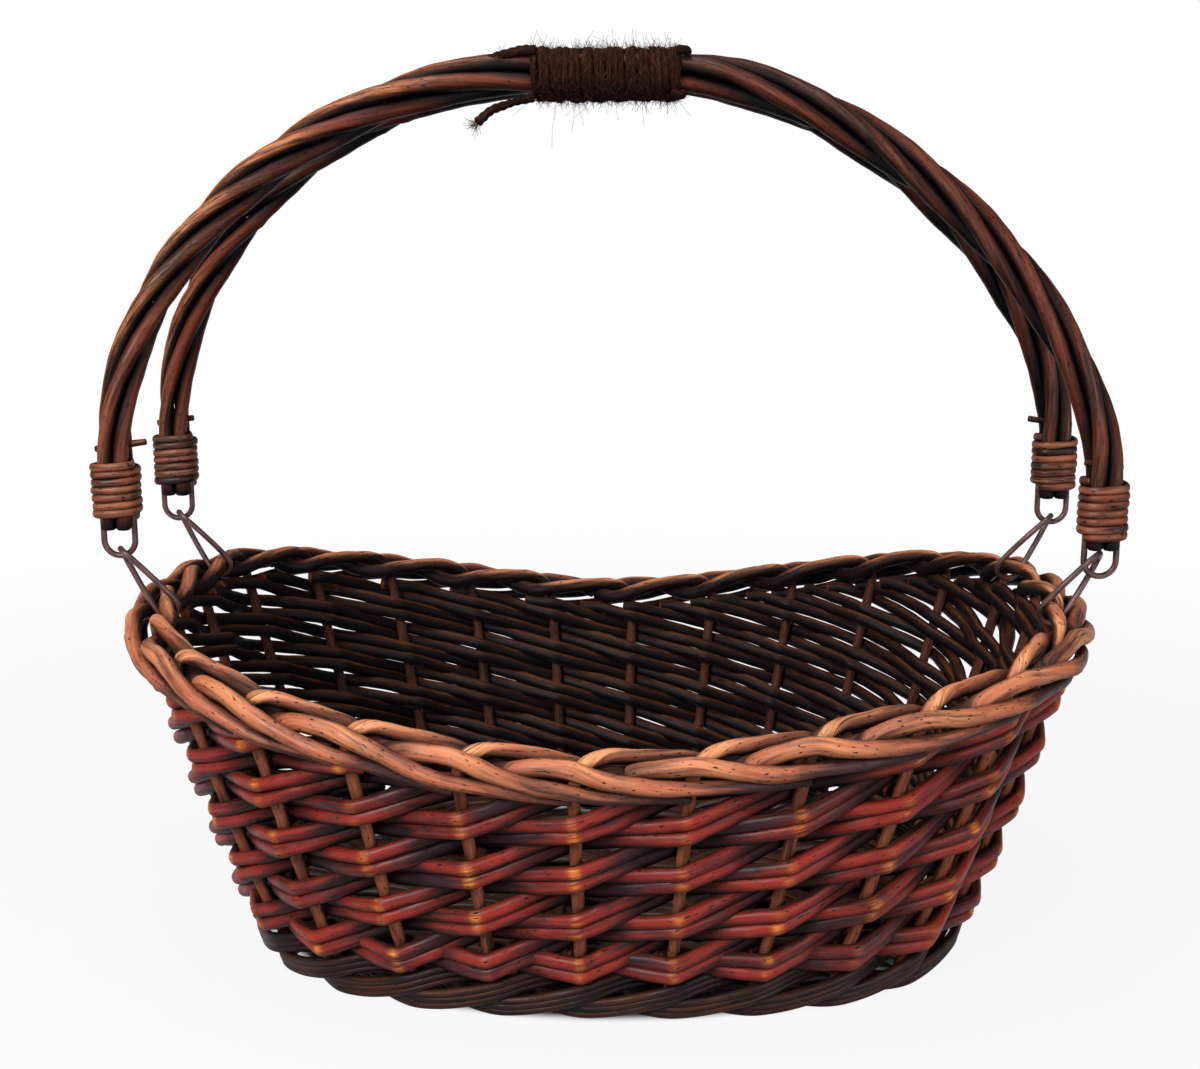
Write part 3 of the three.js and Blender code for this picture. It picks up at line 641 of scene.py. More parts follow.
def willow_skin():
    """Barked willow: long streaks, blotches along the rod, small dark flecks, wear at bends with painted
    highlights, painted shade on the inner side and pale cut ends."""
    tree = bpy.data.node_groups.new("willow_skin", "ShaderNodeTree")
    for name in ("Dark", "Light", "Bend and Highlight", "Shade", "Cut"):
        tree.interface.new_socket(name=name, in_out="INPUT", socket_type="NodeSocketColor")
    tree.interface.new_socket(name="Color", in_out="OUTPUT", socket_type="NodeSocketColor")
    for name in ("Roughness", "Gloss", "Height"):
        tree.interface.new_socket(name=name, in_out="OUTPUT", socket_type="NodeSocketFloat")
    given = tree.nodes.new("NodeGroupInput").outputs
    tone, bend, inner, cut = colour_marks(tree)
    fibre = noise(tree, 110, 2600, 3.0, 0.6)
    streak = noise(tree, 26, 520, 2.0, 0.55)
    blotch = noise(tree, 24, 90, 3.0, 0.6)
    fleck = noise(tree, 300, 1100, 1.0, 0.4)
    level = math_node(tree, "ADD", ranged(tree, blotch, 0.34, 0.66, -0.35, 0.35), tone)
    level = math_node(tree, "ADD", level, ranged(tree, streak, 0.3, 0.7, -0.22, 0.22))
    skin = blended(tree, ranged(tree, level, 0.0, 1.0), given["Dark"], given["Light"])
    darker = ranged(tree, fibre, 0.42, 0.66, 0.0, 0.8)
    skin = blended(tree, darker, skin, (0.42, 0.37, 0.36, 1), "MULTIPLY")
    # The bend colour goes on by the bend mark: wear at bends, and painted highlights where the rods set
    # the mark by where faces look.
    wear_and_painted_highlight = math_node(tree, "MULTIPLY", bend, ranged(tree, blended(tree, 0.5, streak, fibre), 0.4, 0.6))
    skin = blended(tree, wear_and_painted_highlight, skin, given["Bend and Highlight"])
    specks = ranged(tree, fleck, 0.65, 0.72)
    skin = blended(tree, specks, skin, given["Shade"])
    # Painted shade: the shade colour goes on by the shade mark.
    skin = blended(tree, inner, skin, given["Shade"])
    skin = blended(tree, ranged(tree, cut, 0.3, 0.8), skin, given["Cut"])
    open_side = ranged(tree, inner, 0.05, 0.5, 0.4, 0.0)
    height = math_node(tree, "MULTIPLY", streak, 0.9)
    height = math_node(tree, "ADD", math_node(tree, "MULTIPLY", fibre, 0.5), height)
    node(tree, "NodeGroupOutput", {
        "Color": skin,
        "Roughness": ranged(tree, streak, 0.3, 0.7, 0.42, 0.62),
        "Gloss": math_node(tree, "MULTIPLY", open_side, ranged(tree, fibre, 0.35, 0.6)),
        "Height": math_node(tree, "SUBTRACT", height, math_node(tree, "MULTIPLY", specks, 0.6)),
    })
    return tree


def new_material(name):
    material = bpy.data.materials.new(name)
    material.use_nodes = True
    tree = material.node_tree
    return material, tree, tree.nodes["Principled BSDF"]


def add_bump(tree, shader, height, strength, depth):
    values = {"Height": height, "Strength": strength, "Distance": depth * MM}
    feed(tree, shader, {"Normal": node(tree, "ShaderNodeBump", values).outputs["Normal"]})


def willow(name, dark, light, bend, shade, cut):
    """A willow finish: the shared skin with five colours of its own, under a thin gloss, uneven and left
    off where shade is painted.
    """
    material, tree, shader = new_material(name)
    skin = tree.nodes.new("ShaderNodeGroup")
    skin.node_tree = WILLOW_SKIN
    colours = {"Dark": dark, "Light": light, "Bend and Highlight": bend, "Shade": shade, "Cut": cut}
    feed(tree, skin, {name: srgb(value) for name, value in colours.items()})
    feed(tree, shader, {"Base Color": skin.outputs["Color"], "Roughness": skin.outputs["Roughness"],
                        "Coat Weight": skin.outputs["Gloss"], "Coat Roughness": 0.38,
                        "Specular IOR Level": 0.1})
    add_bump(tree, shader, skin.outputs["Height"], 0.6, 0.35)
    return material


def srgb(hex_colour):
    """Linear red, green, blue and a full alpha of a colour written as on screen."""
    parts = [(hex_colour >> shift & 255) / 255 for shift in (16, 8, 0)]
    return (*(p / 12.92 if p <= 0.04045 else ((p + 0.055) / 1.055) ** 2.4 for p in parts), 1)


def jute_look():
    """Hairy two-ply twine: slanting plies and fine fibres over dark brown."""
    material, tree, shader = new_material("jute_twine")
    plies = noise(tree, 420, 1500, 4.0, 0.7)
    hairs = noise(tree, 90, 3000, 3.0, 0.6)
    tone, _, inner, _ = colour_marks(tree)
    colour = blended(tree, ranged(tree, plies, 0.38, 0.7), srgb(0x100806), srgb(0x392015))
    colour = blended(tree, ranged(tree, hairs, 0.5, 0.75, 0.0, 0.7), colour, srgb(0x69402a))
    colour = blended(tree, ranged(tree, tone, 0.6, 1.0), colour, srgb(0x523325))
    # Painted shade: the shade mark darkens the twine towards near black.
    colour = blended(tree, inner, colour, srgb(0x0c0605))
    feed(tree, shader, {"Base Color": colour, "Roughness": 0.9, "Specular IOR Level": 0.04})
    add_bump(tree, shader, math_node(tree, "ADD", plies, hairs), 0.9, 0.6)
    return material


def wire_look():
    """Brown coated wire, rubbed to bare metal in small patches."""
    material, tree, shader = new_material("coated_wire")
    patch = noise(tree, 120, 500, 3.0, 0.6)
    feed(tree, shader, {
        "Base Color": blended(tree, ranged(tree, patch, 0.35, 0.7), srgb(0x2c1817), srgb(0x64423c)),
        "Roughness": ranged(tree, patch, 0.3, 0.7, 0.5, 0.3),
        "Metallic": ranged(tree, patch, 0.45, 0.75, 0.05, 0.4),
    })
    add_bump(tree, shader, patch, 0.35, 0.2)
    return material


WILLOW_SKIN = willow_skin()
# Dark and light of the bark, bend wear and painted highlight, painted shade and dark flecks, cut end
STAKE_LOOK = willow("stake_willow", 0x3e2320, 0xac6244, 0xdc9866, 0x130a09, 0xb07a50)
WEAVER_LOOK = willow("weaver_willow", 0x2c1216, 0x8a261c, 0xd88230, 0x0f0908, 0x6a2c1c)
FOOT_LOOK = willow("foot_willow", 0x110908, 0x462218, 0x704427, 0x050303, 0x6a4028)
BASE_LOOK = willow("base_willow", 0x1c0e0b, 0x4c281a, 0x5c331e, 0x0c0706, 0x7a5238)
HANDLE_LOOK = willow("handle_willow", 0x1c0a08, 0x65271a, 0xbc7442, 0x050303, 0x2c1610)
BINDING_LOOK = willow("binding_willow", 0x200d0a, 0x783e2a, 0xb0704c, 0x040202, 0x4a2818)
JUTE_LOOK = jute_look()
WIRE_LOOK = wire_look()


# Stakes and border

def stake_rod(k):
    """A stake up the wall, then along its route through the border, rounded by a running mean.
    In the border its side vector looks away from the border's middle."""
    top = rim_height(angle_at(k)) - STAKE_TOP_BELOW_RIM
    z = np.linspace(STAKE_FOOT_HEIGHT, top, STAKE_STATIONS)
    nought = 0 * z
    wall = [wall_point(k + nought, z, nought), nought + STAKE_RADIUS, nought]
    passed, out, up, radius = np.array(BORDER_ROUTE).T
    places = np.linspace(passed[0], passed[-1], BORDER_STATIONS)
    out, up, radius = (np.interp(places, passed, column) for column in (out, up, radius))
    out = out + waves(places, (0.5, 0.3), (1.7, 0.9))
    up = up + waves(places, (0.5, 0.3), (1.9, 0.8))
    border = [border_point(k + places, out, up), radius, places + 0.02]
    facing = level_outward(k + places) * (out - BORDER_MIDDLE_OUT)[:, None]
    facing[:, 2] += up - BORDER_MIDDLE_UP
    facing = mix(level_outward(k + places), facing / 4, smooth(places / 0.5)[:, None])
    wall = np.column_stack([*wall, spread(facing[0], STAKE_STATIONS, 3)])
    rows = np.concatenate([wall, np.column_stack([*border, facing])])
    rows = soften(resample(rows, ROD_STEP), 1.15)
    path, radius, places, side = rows[:, :3], rows[:, 3], rows[:, 4], rows[:, 5:]
    # Painted shade: a lower tone and the shade mark where the rod dips under its neighbours, the shade
    # mark at its end and a little along the wall; the tone also falls towards the end. The call paints
    # shade on faces that look in from the border's middle, on faces that look down and on faces that
    # look into the basket.
    tone = 0.45 + 0.3 * rng.random() + 0.1 * smooth(places * 4) - 0.6 * smooth((places - 2.8) / 0.8)
    tone = tone - 0.35 * bell(places, 1.35, 0.35) + 0.15 * (1 - smooth(places / 0.05))
    bend = 0.9 * bell(places, 0.16, 0.2) + 0.5 * bell(places, 0.8, 0.45)
    bend = (bend + 0.45 * bell(places, 2.1, 0.35)) * smooth((places - 0.03) / 0.08)
    inner = 0.85 * bell(places, 1.22, 0.2) + 0.45 * smooth((places - 3.2) / 0.8)
    inner = inner + 0.35 * bell(places, -0.02, 0.06)
    wall_side = level_outward(k + places) * smooth(places / 0.1)[:, None]
    return rod(path, side, radius, tone, bend, inner, sides=16, rough=0.035, knots=0.8,
               wall_side=wall_side, inward=0.75, under=0.7, hollow=0.92)


def make_stakes():
    """Every stake is one rod with its border rod, and has a piece of its own."""
    for k in range(STAKE_COUNT):
        name = f"stake_{k + 1}"
        piece(f"{name}_rod", [stake_rod(k)], STAKE_LOOK, "basket", "stake_willow", name)


# Side weave

def weaver_pitch(u):
    """Height of one row, which grows with the rim's height towards the basket's ends."""
    rise = (rim_height(angle_at(u)) - RIM_LOW_HEIGHT) / RIM_END_RISE
    return WEAVER_PITCH * (1 + WEAVER_END_STRETCH * rise)


def zigzag(row):
    """1 in front of a stake and -1 behind the next one, straight between."""
    phase = np.mod(row, 2)
    return 1 - 2 * np.where(phase > 1, 2 - phase, phase)


def weaver_rods(k):
    """The pair that sets out at stake k: two rods, one on the other, that climb one row at a stake,
    and pass the wall by the reach times the zigzag. Each goes on until it meets the border, where it
    is pressed down and in under the border's rods."""
    made = []
    for place in (-1, 1):
        rows = np.arange(WEAVER_START_ROW, WEAVER_ROWS, WEAVER_ROW_STEP)
        u = k + rows
        pitch = weaver_pitch(u)
        z = WEAVE_BOTTOM_HEIGHT + (np.where(rows < 0, rows * WEAVER_START_CLIMB, rows) + 0.5) * pitch
        z = z + place * pitch * PAIR_SPREAD + waves(rows, (0.35, 0.2), (2.3, 0.9))
        ceiling = rim_height(angle_at(u)) - WEAVE_TOP_BELOW_RIM
        rows = rows[:np.argmax(z > ceiling + WEAVER_SQUEEZE)]
        u, z, ceiling = u[:len(rows)], z[:len(rows)], ceiling[:len(rows)]
        z = np.minimum(z, ceiling)
        out = WEAVER_REACH * zigzag(rows) + waves(rows, (0.25,), (1.3,))
        tucked = WEAVER_TUCK if rng.random() < WEAVER_TUCKED_SHARE else 1
        out = np.where(out > 0, out * mix(tucked, 1, smooth((ceiling - z - 1) / 6)), out)
        stations = np.column_stack([wall_point(u, z, out), rows])
        line = soften(resample(stations, WEAVER_STEP), 0.65)
        path, at = line[:, :3], line[:, 3]
        side = wall_outward(angle_at(k + at), path[:, 2])
        front = zigzag(at)
        kink = bell(np.abs(front), 1, 0.07)
        radius = WEAVER_ROD_RADIUS * mix(1.04, 0.96, (at - at[0]) / (at[-1] - at[0]))
        # Painted shade: a lower tone and the shade mark where the rod passes behind a stake. The call
        # paints shade on faces that look in and down, a browner inner side, and painted highlights on
        # their top edges.
        tone = 0.3 + 0.35 * rng.random() + 0.3 * np.clip(front, -1, 1)
        nearest = np.clip(np.round(at).astype(int), 0, WORN_BENDS - 1)
        wear_and_painted_highlight = rng.random(WORN_BENDS)[nearest] ** 1.6
        bend = np.where(front > 0, kink, 0) * (0.2 + 0.9 * wear_and_painted_highlight)
        inner = 0.75 * smooth((0.45 - front) / 0.9)
        cut = np.where(steps_to_end(len(line)) < 1, 1.0, 0.0)
        made.append(rod(path, side, radius, tone, bend, inner, cut, thick=WEAVER_TALL, knots=0.35,
                        round_end=0.25, inward=0.99, inward_edge=0.58, top_light=0.5, under=0.75,
                        dulled=0.9))
    return made


def make_side_weave():
    """Three neighbouring pairs make a piece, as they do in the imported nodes."""
    for first in range(0, STAKE_COUNT, PAIRS_PER_GROUP):
        rods = []
        for k in range(first, min(first + PAIRS_PER_GROUP, STAKE_COUNT)):
            rods += weaver_rods(k)
        name = f"side_weave_{first // PAIRS_PER_GROUP + 1}"
        piece(f"{name}_rods", rods, WEAVER_LOOK, "basket", "weaver_willow", name)


# Foot

def make_foot():
    """Three strands of three thin rods, each in front of two stakes and behind one, in one line that
    goes three times round. The height follows WALE_RISE over three stakes, times FOOT_RISE."""
    steps = np.arange(STAKE_COUNT * WALE_STRANDS)
    behind = steps % WALE_STRANDS == WALE_STRANDS - 1
    out = np.where(behind, -WALE_INNER_REACH, WALE_REACH)
    rods = []
    for place in (-1, 0, 1):
        at = np.arange(len(steps) * FOOT_STATIONS) / FOOT_STATIONS
        rise = np.interp(np.mod(at, WALE_STRANDS), *WALE_RISE)
        z = FOOT_LOW + FOOT_RISE * rise + place * FOOT_ROD_LIFT
        reach = np.interp(at, np.append(steps, len(steps)), np.append(out, out[0]))
        line = wall_point(at, z, 0 * at) + level_outward(at) * (reach - FOOT_ROD_LEAN * place)[:, None]
        stations = np.column_stack([line, at])
        stations = np.concatenate([stations, stations[:1]])
        stations[-1, 3] = len(steps)
        line = resample(stations, ROD_STEP)[:-1]
        path = soften(line[:, :3], 2.0, closed=True)
        at = line[:, 3]
        phase = np.mod(at, WALE_STRANDS)
        tone = 0.25 + 0.3 * np.sin(at * 0.7 + place) ** 2
        # Painted shade: the shade mark where a strand passes behind a stake, and a quarter of it all
        # along; the call paints shade on faces that look in and down.
        bend, inner = 0.3 * bell(phase, 0.5, 0.4), 0.5 * bell(phase, 2, 0.5) + 0.25
        rods.append(rod(path, level_outward(at), FOOT_ROD_RADIUS, tone, bend, inner, closed=True,
                        inward=0.9, inward_edge=0.6, under=0.85))
    piece("foot_wale_rods", rods, FOOT_LOOK, "basket", "weaver_willow", "foot_wale")


# Base

def hoop_oval():
    """Half length and half depth of the hoop's middle line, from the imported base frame."""
    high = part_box("base_frame")[1]
    return high.x / MM - HOOP_RADIUS, high.y / MM - HOOP_RADIUS


def stick_places():
    """Places of the sticks along the base: even steps out from its middle, to both ends."""
    half = hoop_oval()[0] - HOOP_RADIUS - BASE_STICK_END_GAP
    right = np.arange(BASE_STICK_SPACING / 2, half, BASE_STICK_SPACING)
    return np.concatenate([-right[::-1], right])


def chord(share, half):
    """Half a chord of the hoop's oval: half times (1 - share^n)^(1/n)."""
    return half * (1 - share ** OVAL_POWER) ** (1 / OVAL_POWER)


def make_base_frame():
    """Hoop on a superellipse, and flattened sticks straight across it."""
    half_length, half_depth = hoop_oval()
    angle = np.linspace(0, TURN, HOOP_POINTS, endpoint=False)
    r = superellipse(angle, half_length, half_depth, OVAL_POWER)
    ring = points(r * np.cos(angle), r * np.sin(angle), BASE_MIDDLE)
    rods = [rod(ring, (0, 0, 1), HOOP_RADIUS, 0.4, closed=True)]
    for x in stick_places():
        reach = chord(abs(x) / half_length, half_depth)
        path = points(x, np.linspace(-reach, reach, BASE_STICK_POINTS), BASE_MIDDLE)
        rods.append(rod(path, (1, 0, 0), BASE_STICK_HALF_WIDTH, 0.5, thick=BASE_STICK_FLATNESS,
                        rough=0.02))
    piece("base_frame_rods", rods, BASE_LOOK, "basket", "base_willow", "base_frame")


def make_base_weave():
    """Rows of thin rods. A row's height is the cosine of its place between the sticks, flattened by a
    power, so it passes over one stick and under the next, and the next row the other way."""
    half_length, half_depth = hoop_oval()
    rods = []
    weave_low, weave_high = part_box("base_weave")
    row_count = int(round((weave_high.y - weave_low.y) / MM / BASE_WEAVER_PITCH))
    for row in range(-(row_count // 2) - 1, row_count // 2 + 2):
        for place in range(BASE_RODS_PER_ROW):
            y = (row + (place + 0.5) / BASE_RODS_PER_ROW - 0.5) * BASE_WEAVER_PITCH
            share = (abs(y) + BASE_ROD_EDGE_GAP) / half_depth
            if share > BASE_LAST_SHARE:
                continue
            reach = chord(share, half_length - BASE_ROD_END_GAP)
            x = np.linspace(-reach, reach, BASE_ROD_POINTS)
            wave = np.cos(PI * (x / BASE_STICK_SPACING - 0.5 + row))
            z = BASE_MIDDLE + np.sign(wave) * np.abs(wave) ** BASE_WAVE_POWER * BASE_WAVE
            path = soften(points(x, y + waves(x, (0.4,), (70,)), z), 2.0)
            rods.append(rod(path, (0, 1, 0), BASE_ROD_HALF_WIDTH, 0.3 + 0.4 * rng.random(),
                            thick=BASE_ROD_FLATNESS, sides=10))
    piece("base_weave_rods", rods, BASE_LOOK, "basket", "base_willow", "base_weave")


# Handle

def arch_point(side_x, side_y, drop, turn):
    """Half of a superelliptic arch: turn 0 at the binding, a right angle at the grip, and drawn in
    from the foot's place across the basket to the grip's."""
    bow = 2 / (ARCH_POWER_LEFT if side_x < 0 else ARCH_POWER_RIGHT)
    start = FOOT_END_HEIGHT - drop + FOOT_ROD_STUB + BINDING_HEIGHT
    x = GRIP_HALF_LENGTH + (HANDLE_SPAN / 2 - GRIP_HALF_LENGTH) * np.maximum(0, np.cos(turn)) ** bow
    z = start + (HANDLE_TOP_HEIGHT - start) * np.sin(turn) ** bow
    y = mix(FOOT_Y, ARCH_GRIP_Y, smooth(turn / (PI / 2)))
    return points(side_x * x, side_y * y, z)


def twist_at(turn):
    """Angle that the rods are twisted by: even along the arch, but for an eased start and end."""
    share = turn / (PI / 2)
    return TWIST_TURNS * TURN * (share - TWIST_EASE * np.sin(TURN * share) / TURN)


def arch_half(side_x, side_y, drop, number):
    """One rod of an arch: a helix about the arch's centre line, drawn out straight at the foot."""
    turn = np.linspace(0, PI / 2, ARCH_POINTS)
    centre = arch_point(side_x, side_y, drop, turn)
    ahead = arch_point(side_x, side_y, drop, np.minimum(PI / 2, turn + ARCH_SLOPE_TURN))
    ahead = ahead - arch_point(side_x, side_y, drop, np.maximum(0, turn - ARCH_SLOPE_TURN))
    ahead[:, 1] = 0
    ahead[0] = (0, 0, 1)
    ahead[-1] = (-side_x, 0, 0)
    ahead = unit(ahead)
    foot = centre[:1].copy()
    foot[0, 2] = FOOT_END_HEIGHT - drop
    centre = np.concatenate([foot, centre])
    ahead = np.concatenate([ahead[:1], ahead])
    turn = np.concatenate([[0], turn])
    blend = smooth(turn / (PI / 2))
    reach = mix(ROD_FOOT_REACH, ROD_TOP_REACH, blend) * math.sqrt(2)
    across = np.array([0.0, 1.0, 0.0])
    up = np.cross(ahead, across) * side_x
    angle = (number + 0.5) * (PI / 2) + side_x * (twist_at(turn) - twist_at(PI / 2))
    out = across * np.cos(angle)[:, None] + up * np.sin(angle)[:, None]
    radius = mix(HANDLE_ROD_FOOT_RADIUS, HANDLE_ROD_TOP_RADIUS, blend)
    return np.column_stack([centre + out * reach[:, None], radius, out])


def make_handle():
    """Four rods an arch, each from the left foot over the grip to the right foot."""
    for arch, side_y in (("front", -1), ("back", 1)):
        for number in range(RODS_PER_ARCH):
            left = arch_half(-1, side_y, CORNERS[f"{arch}_left"][2], number)
            right = arch_half(1, side_y, CORNERS[f"{arch}_right"][2], number)[::-1]
            line = soften(resample(np.concatenate([left, right[1:]]), ROD_STEP), 2.0)
            x = line[:, 0] / (HANDLE_SPAN / 2)
            # Painted light: a higher tone towards the left end, and the bend mark rises on top of the
            # bundle's left half as a painted highlight, over a little wear all along. The shade mark
            # darkens the last few millimetres at each end, and the call paints shade between the rods
            # and underneath.
            tone = 0.36 + 0.3 * rng.random() - 0.12 * x
            tone = tone + waves(np.linspace(0, 1, len(line)), (0.15,), (0.31,))
            ends = steps_to_end(len(line))
            stub = 0.95 * np.exp(-(ends * ROD_STEP / STUB_LENGTH) ** 4)
            wear_and_painted_highlight = 0.1 + 0.8 * smooth((-0.1 - x) / 0.5) * smooth((line[:, 6] + 0.1) / 0.6)
            cut = np.where(ends < 1, 0.5, 0.0)
            name = f"handle_{arch}_rod_{number + 1}"
            made = rod(line[:, :3], line[:, 4:], line[:, 3], tone, wear_and_painted_highlight, stub, cut, sides=16, knots=0.8,
                       round_end=0.3, inward=1.0, inward_edge=0.85, top_light=0.0, under=0.85)
            piece(f"{name}_willow", [made], HANDLE_LOOK, "handle", "handle_willow", name)


# Windings

def wound(turns, pitch, half1, half2, power, steps, uneven):
    """A helix on a superelliptic bundle: the superellipse's radius at each angle, rising evenly."""
    t = np.arange(int(turns * steps) + 1) / steps
    angle = t * TURN
    r = superellipse(angle, half1, half2, power) + waves(t, (uneven, uneven * 0.6), (1.37, 0.43))
    along = (t - turns / 2) * pitch + waves(t, (uneven * 0.8,), (2.3,))
    return r * np.cos(angle), r * np.sin(angle), along, angle


def make_bindings():
    """On each foot of the handle a skein wound on a superellipse, its ends tucked in, and a pin."""
    for corner, (side_x, side_y, drop) in CORNERS.items():
        first, second, along, angle = wound(
            BINDING_TURNS, BINDING_PITCH, LOOP_HALF_WIDTH + WIRE_RADIUS + BINDING_CLEARANCE,
            2 * ROD_FOOT_REACH + BINDING_SIDE_CLEARANCE, BINDING_POWER, SKEIN_POINTS, 0.12)
        inward = -side_x
        t = angle / TURN
        tuck = mix(SKEIN_TUCK, 1, smooth(np.minimum(t, t[-1] - t) / 0.16))
        first, second = first * tuck, second * tuck
        x, y = side_x * HANDLE_SPAN / 2, side_y * FOOT_Y
        middle = FOOT_END_HEIGHT - drop + FOOT_ROD_STUB + BINDING_HEIGHT / 2
        path = points(x + first * inward, y + second * inward, middle + along)
        side = points(np.cos(angle) * inward, np.sin(angle) * inward, 0)
        at = np.arange(len(path)) / SKEIN_POINTS
        tone = 0.5 + 0.2 * rng.random() - 0.3 * (side_y > 0) + waves(at, (0.2, 0.12), (1.9, 0.37))
        bend = 0.2 + waves(at, (0.2,), (2.7,))
        # The call paints shade in the gaps between the turns and underneath.
        skein = rod(soften(path, 1.2), side, SKEIN_THICKNESS, tone, bend, thick=SKEIN_SHAPE, sides=16,
                    rough=0.05, round_end=0.3, inward=1.0, inward_edge=0.72, under=0.45)
        outer, inner = PIN_REACH[corner]
        reach = np.linspace(-outer, inner, PIN_POINTS)
        above = middle + BINDING_HEIGHT / 2 + PIN_ABOVE + PIN_SLOPE * reach
        # The pin gets a little painted shade all over and painted shade underneath.
        pin = rod(points(x + inward * reach, y, above), (0, 0, 1), PIN_RADIUS, 0.35, 0.1, 0.2, sides=10,
                  rough=0.06, round_end=0.25, under=0.6)
        piece(f"binding_{corner}_skein", [skein, pin], BINDING_LOOK, "handle", "binding_willow",
              f"binding_{corner}")


def twine(path, side, shade=0.0, radius=TWINE_RADIUS, swell=0.22):
    """A two-ply twine: a rod whose section swells twice round, and turns with the length."""
    # Painted shade on the underside, and all over by the shade mark.
    made = rod(path, side, radius, 0.5, inner=shade, sides=TWINE_SIDES, rough=0.09, under=0.9)
    around = (np.arange(TWINE_SIDES) + 0.5) / TWINE_SIDES * TURN
    ply = swell * np.cos(2 * (around[None, :] - TURN * lengths_along(path)[:, None] / PLY_LENGTH))
    middle = made["co"].mean(1, keepdims=True)
    made["co"] = made["co"] + (made["co"] - middle) * with_ends(ply, 0.2, 0.6)[..., None]
    return made


def hair(start, ahead, bend, length, radius=HAIR_RADIUS, tone=0.7):
    """A fibre: start plus ahead times s plus bend times s squared, a thin tube of three sides."""
    s = np.linspace(0, 1, HAIR_POINTS)[:, None] * length
    path = start + ahead * s + bend * s ** 2 / max(length, 1)
    side = unit(np.cross(ahead, [0.31, 0.92, 0.17]))
    return rod(path, side, radius, tone, sides=3, rough=0.0, round_end=1.0)


def grip_sizes():
    """Half the depth and half the height of the bundle that the twine is wound on."""
    return ARCH_GRIP_Y + 2 * ROD_TOP_REACH + GRIP_CLEARANCE, 2 * ROD_TOP_REACH + GRIP_CLEARANCE


def grip_tails():
    """Lines of the twine's two front ends, of a loose end under the grip, and of a knot above and
    below at the right end. Their points are listed, along, across and up from the grip."""
    depth = grip_sizes()[0]
    left, right = -GRIP_HALF_LENGTH, GRIP_HALF_LENGTH
    tails = (
        ((left + 3, 1 - depth, 8.6), (left - 2, 2.4 - depth, 9.0), (left - 8, 3 - depth, 7.6),
         (left - 12, 3 - depth, 7.0)),
        ((left + 3, 4 - depth, 9.3), (left - 4, 5 - depth, 10.0), (left - 13, 5 - depth, 7.4),
         (left - 19, 5 - depth, 5.4)),
        ((left + 2, 4 - depth, -10.2), (left - 7, 4 - depth, -12.2), (left - 17, 2 - depth, -15.6),
         (left - 23, -depth, -21.5)),
        ((right - 3, 1 - depth, 8.4), (right + 1.5, -depth, 9.6), (right + 2.4, 2 - depth, 7.0)),
        ((right - 5, 1 - depth, -8.6), (right - 1, -depth, -10.6), (right + 1.2, 3 - depth, -8.4)),
    )
    smoothed = [soften(resample(np.array(tail), TAIL_STEP), 2.5) for tail in tails]
    return [tail + (0, 0, HANDLE_TOP_HEIGHT) for tail in smoothed]


def spot_on_twine(path):
    """A random place on the winding: its point, the way out of it and the way along the twine."""
    depth, height = grip_sizes()
    at = int(rng.random() * (len(path) - 2)) + 1
    _, y, z = path[at]
    out = unit(np.array([0.0, y, (z - HANDLE_TOP_HEIGHT) * depth / height]))
    return path[at], out, unit(path[at + 1] - path[at])


def lying_hair(path):
    """A fibre that runs along the twine, lifts off it a little and bends back."""
    start, out, run = spot_on_twine(path)
    ahead = unit(run * rng.choice((-1, 1)) + np.array([rng.normal(0, 0.8), 0, 0]) + out * 0.12)
    length = 2.5 + 3.5 * rng.random()
    return hair(start + out * (TWINE_RADIUS * 1.02), ahead, -0.3 * out, length, LYING_HAIR_RADIUS,
                0.6 + 0.5 * rng.random())


def standing_hair(path, long):
    """A fibre that stands out, cut shorter where it would rise past HAIR_ABOVE over the grip."""
    start, out, _ = spot_on_twine(path)
    ahead = unit(out * (0.5 + rng.random()) + rng.normal(0, 0.75, 3))
    length = 6 + 8 * rng.random() if long else 1.4 + 2.8 * rng.random() ** 2
    bend = rng.normal(0, 0.5, 3)
    room = HANDLE_TOP_HEIGHT + grip_sizes()[1] + HAIR_ABOVE - start[2]
    rise = (ahead[2] + max(0, bend[2])) * length / room
    return hair(start + out, ahead, bend, length / max(1, rise))


def tail_hair(end):
    """A frayed fibre at a tail's end, which goes on in the tail's direction, somewhat spread."""
    ahead = unit(unit(end[-1] - end[0]) + rng.normal(0, 0.38, 3))
    start = end[1] + rng.normal(0, 0.6, 3)
    return hair(start, ahead, rng.normal(0, 0.3, 3), 2 + 3.5 * rng.random())


def make_grip():
    """Twine wound round both arches, its tails and knots, and fibres that stand out of it."""
    depth, height = grip_sizes()
    first, second, along, _ = wound(GRIP_TURNS, GRIP_PITCH, depth, height, GRIP_POWER, TWINE_POINTS, 0.5)
    path = soften(points(along, first, HANDLE_TOP_HEIGHT + second), 1.0)
    made = [twine(path, (1, 0, 0))]
    tails = grip_tails()
    # The tails get a quarter of painted shade all over.
    made += [twine(tail, (0, 1, 0), shade=0.25, radius=TAIL_RADIUS, swell=0.1) for tail in tails]
    strands = [lying_hair(path) for _ in range(LYING_HAIRS)]
    strands += [standing_hair(path, False) for _ in range(SHORT_HAIRS)]
    strands += [standing_hair(path, True) for _ in range(LONG_HAIRS)]
    for tail in tails[:3]:
        strands += [tail_hair(tail[-3:]) for _ in range(TAIL_HAIRS)]
    piece("grip_twine_jute", made, JUTE_LOOK, "handle", "jute", "grip_twine")
    piece("grip_fibres", strands, JUTE_LOOK, "handle", "jute")


# Wire

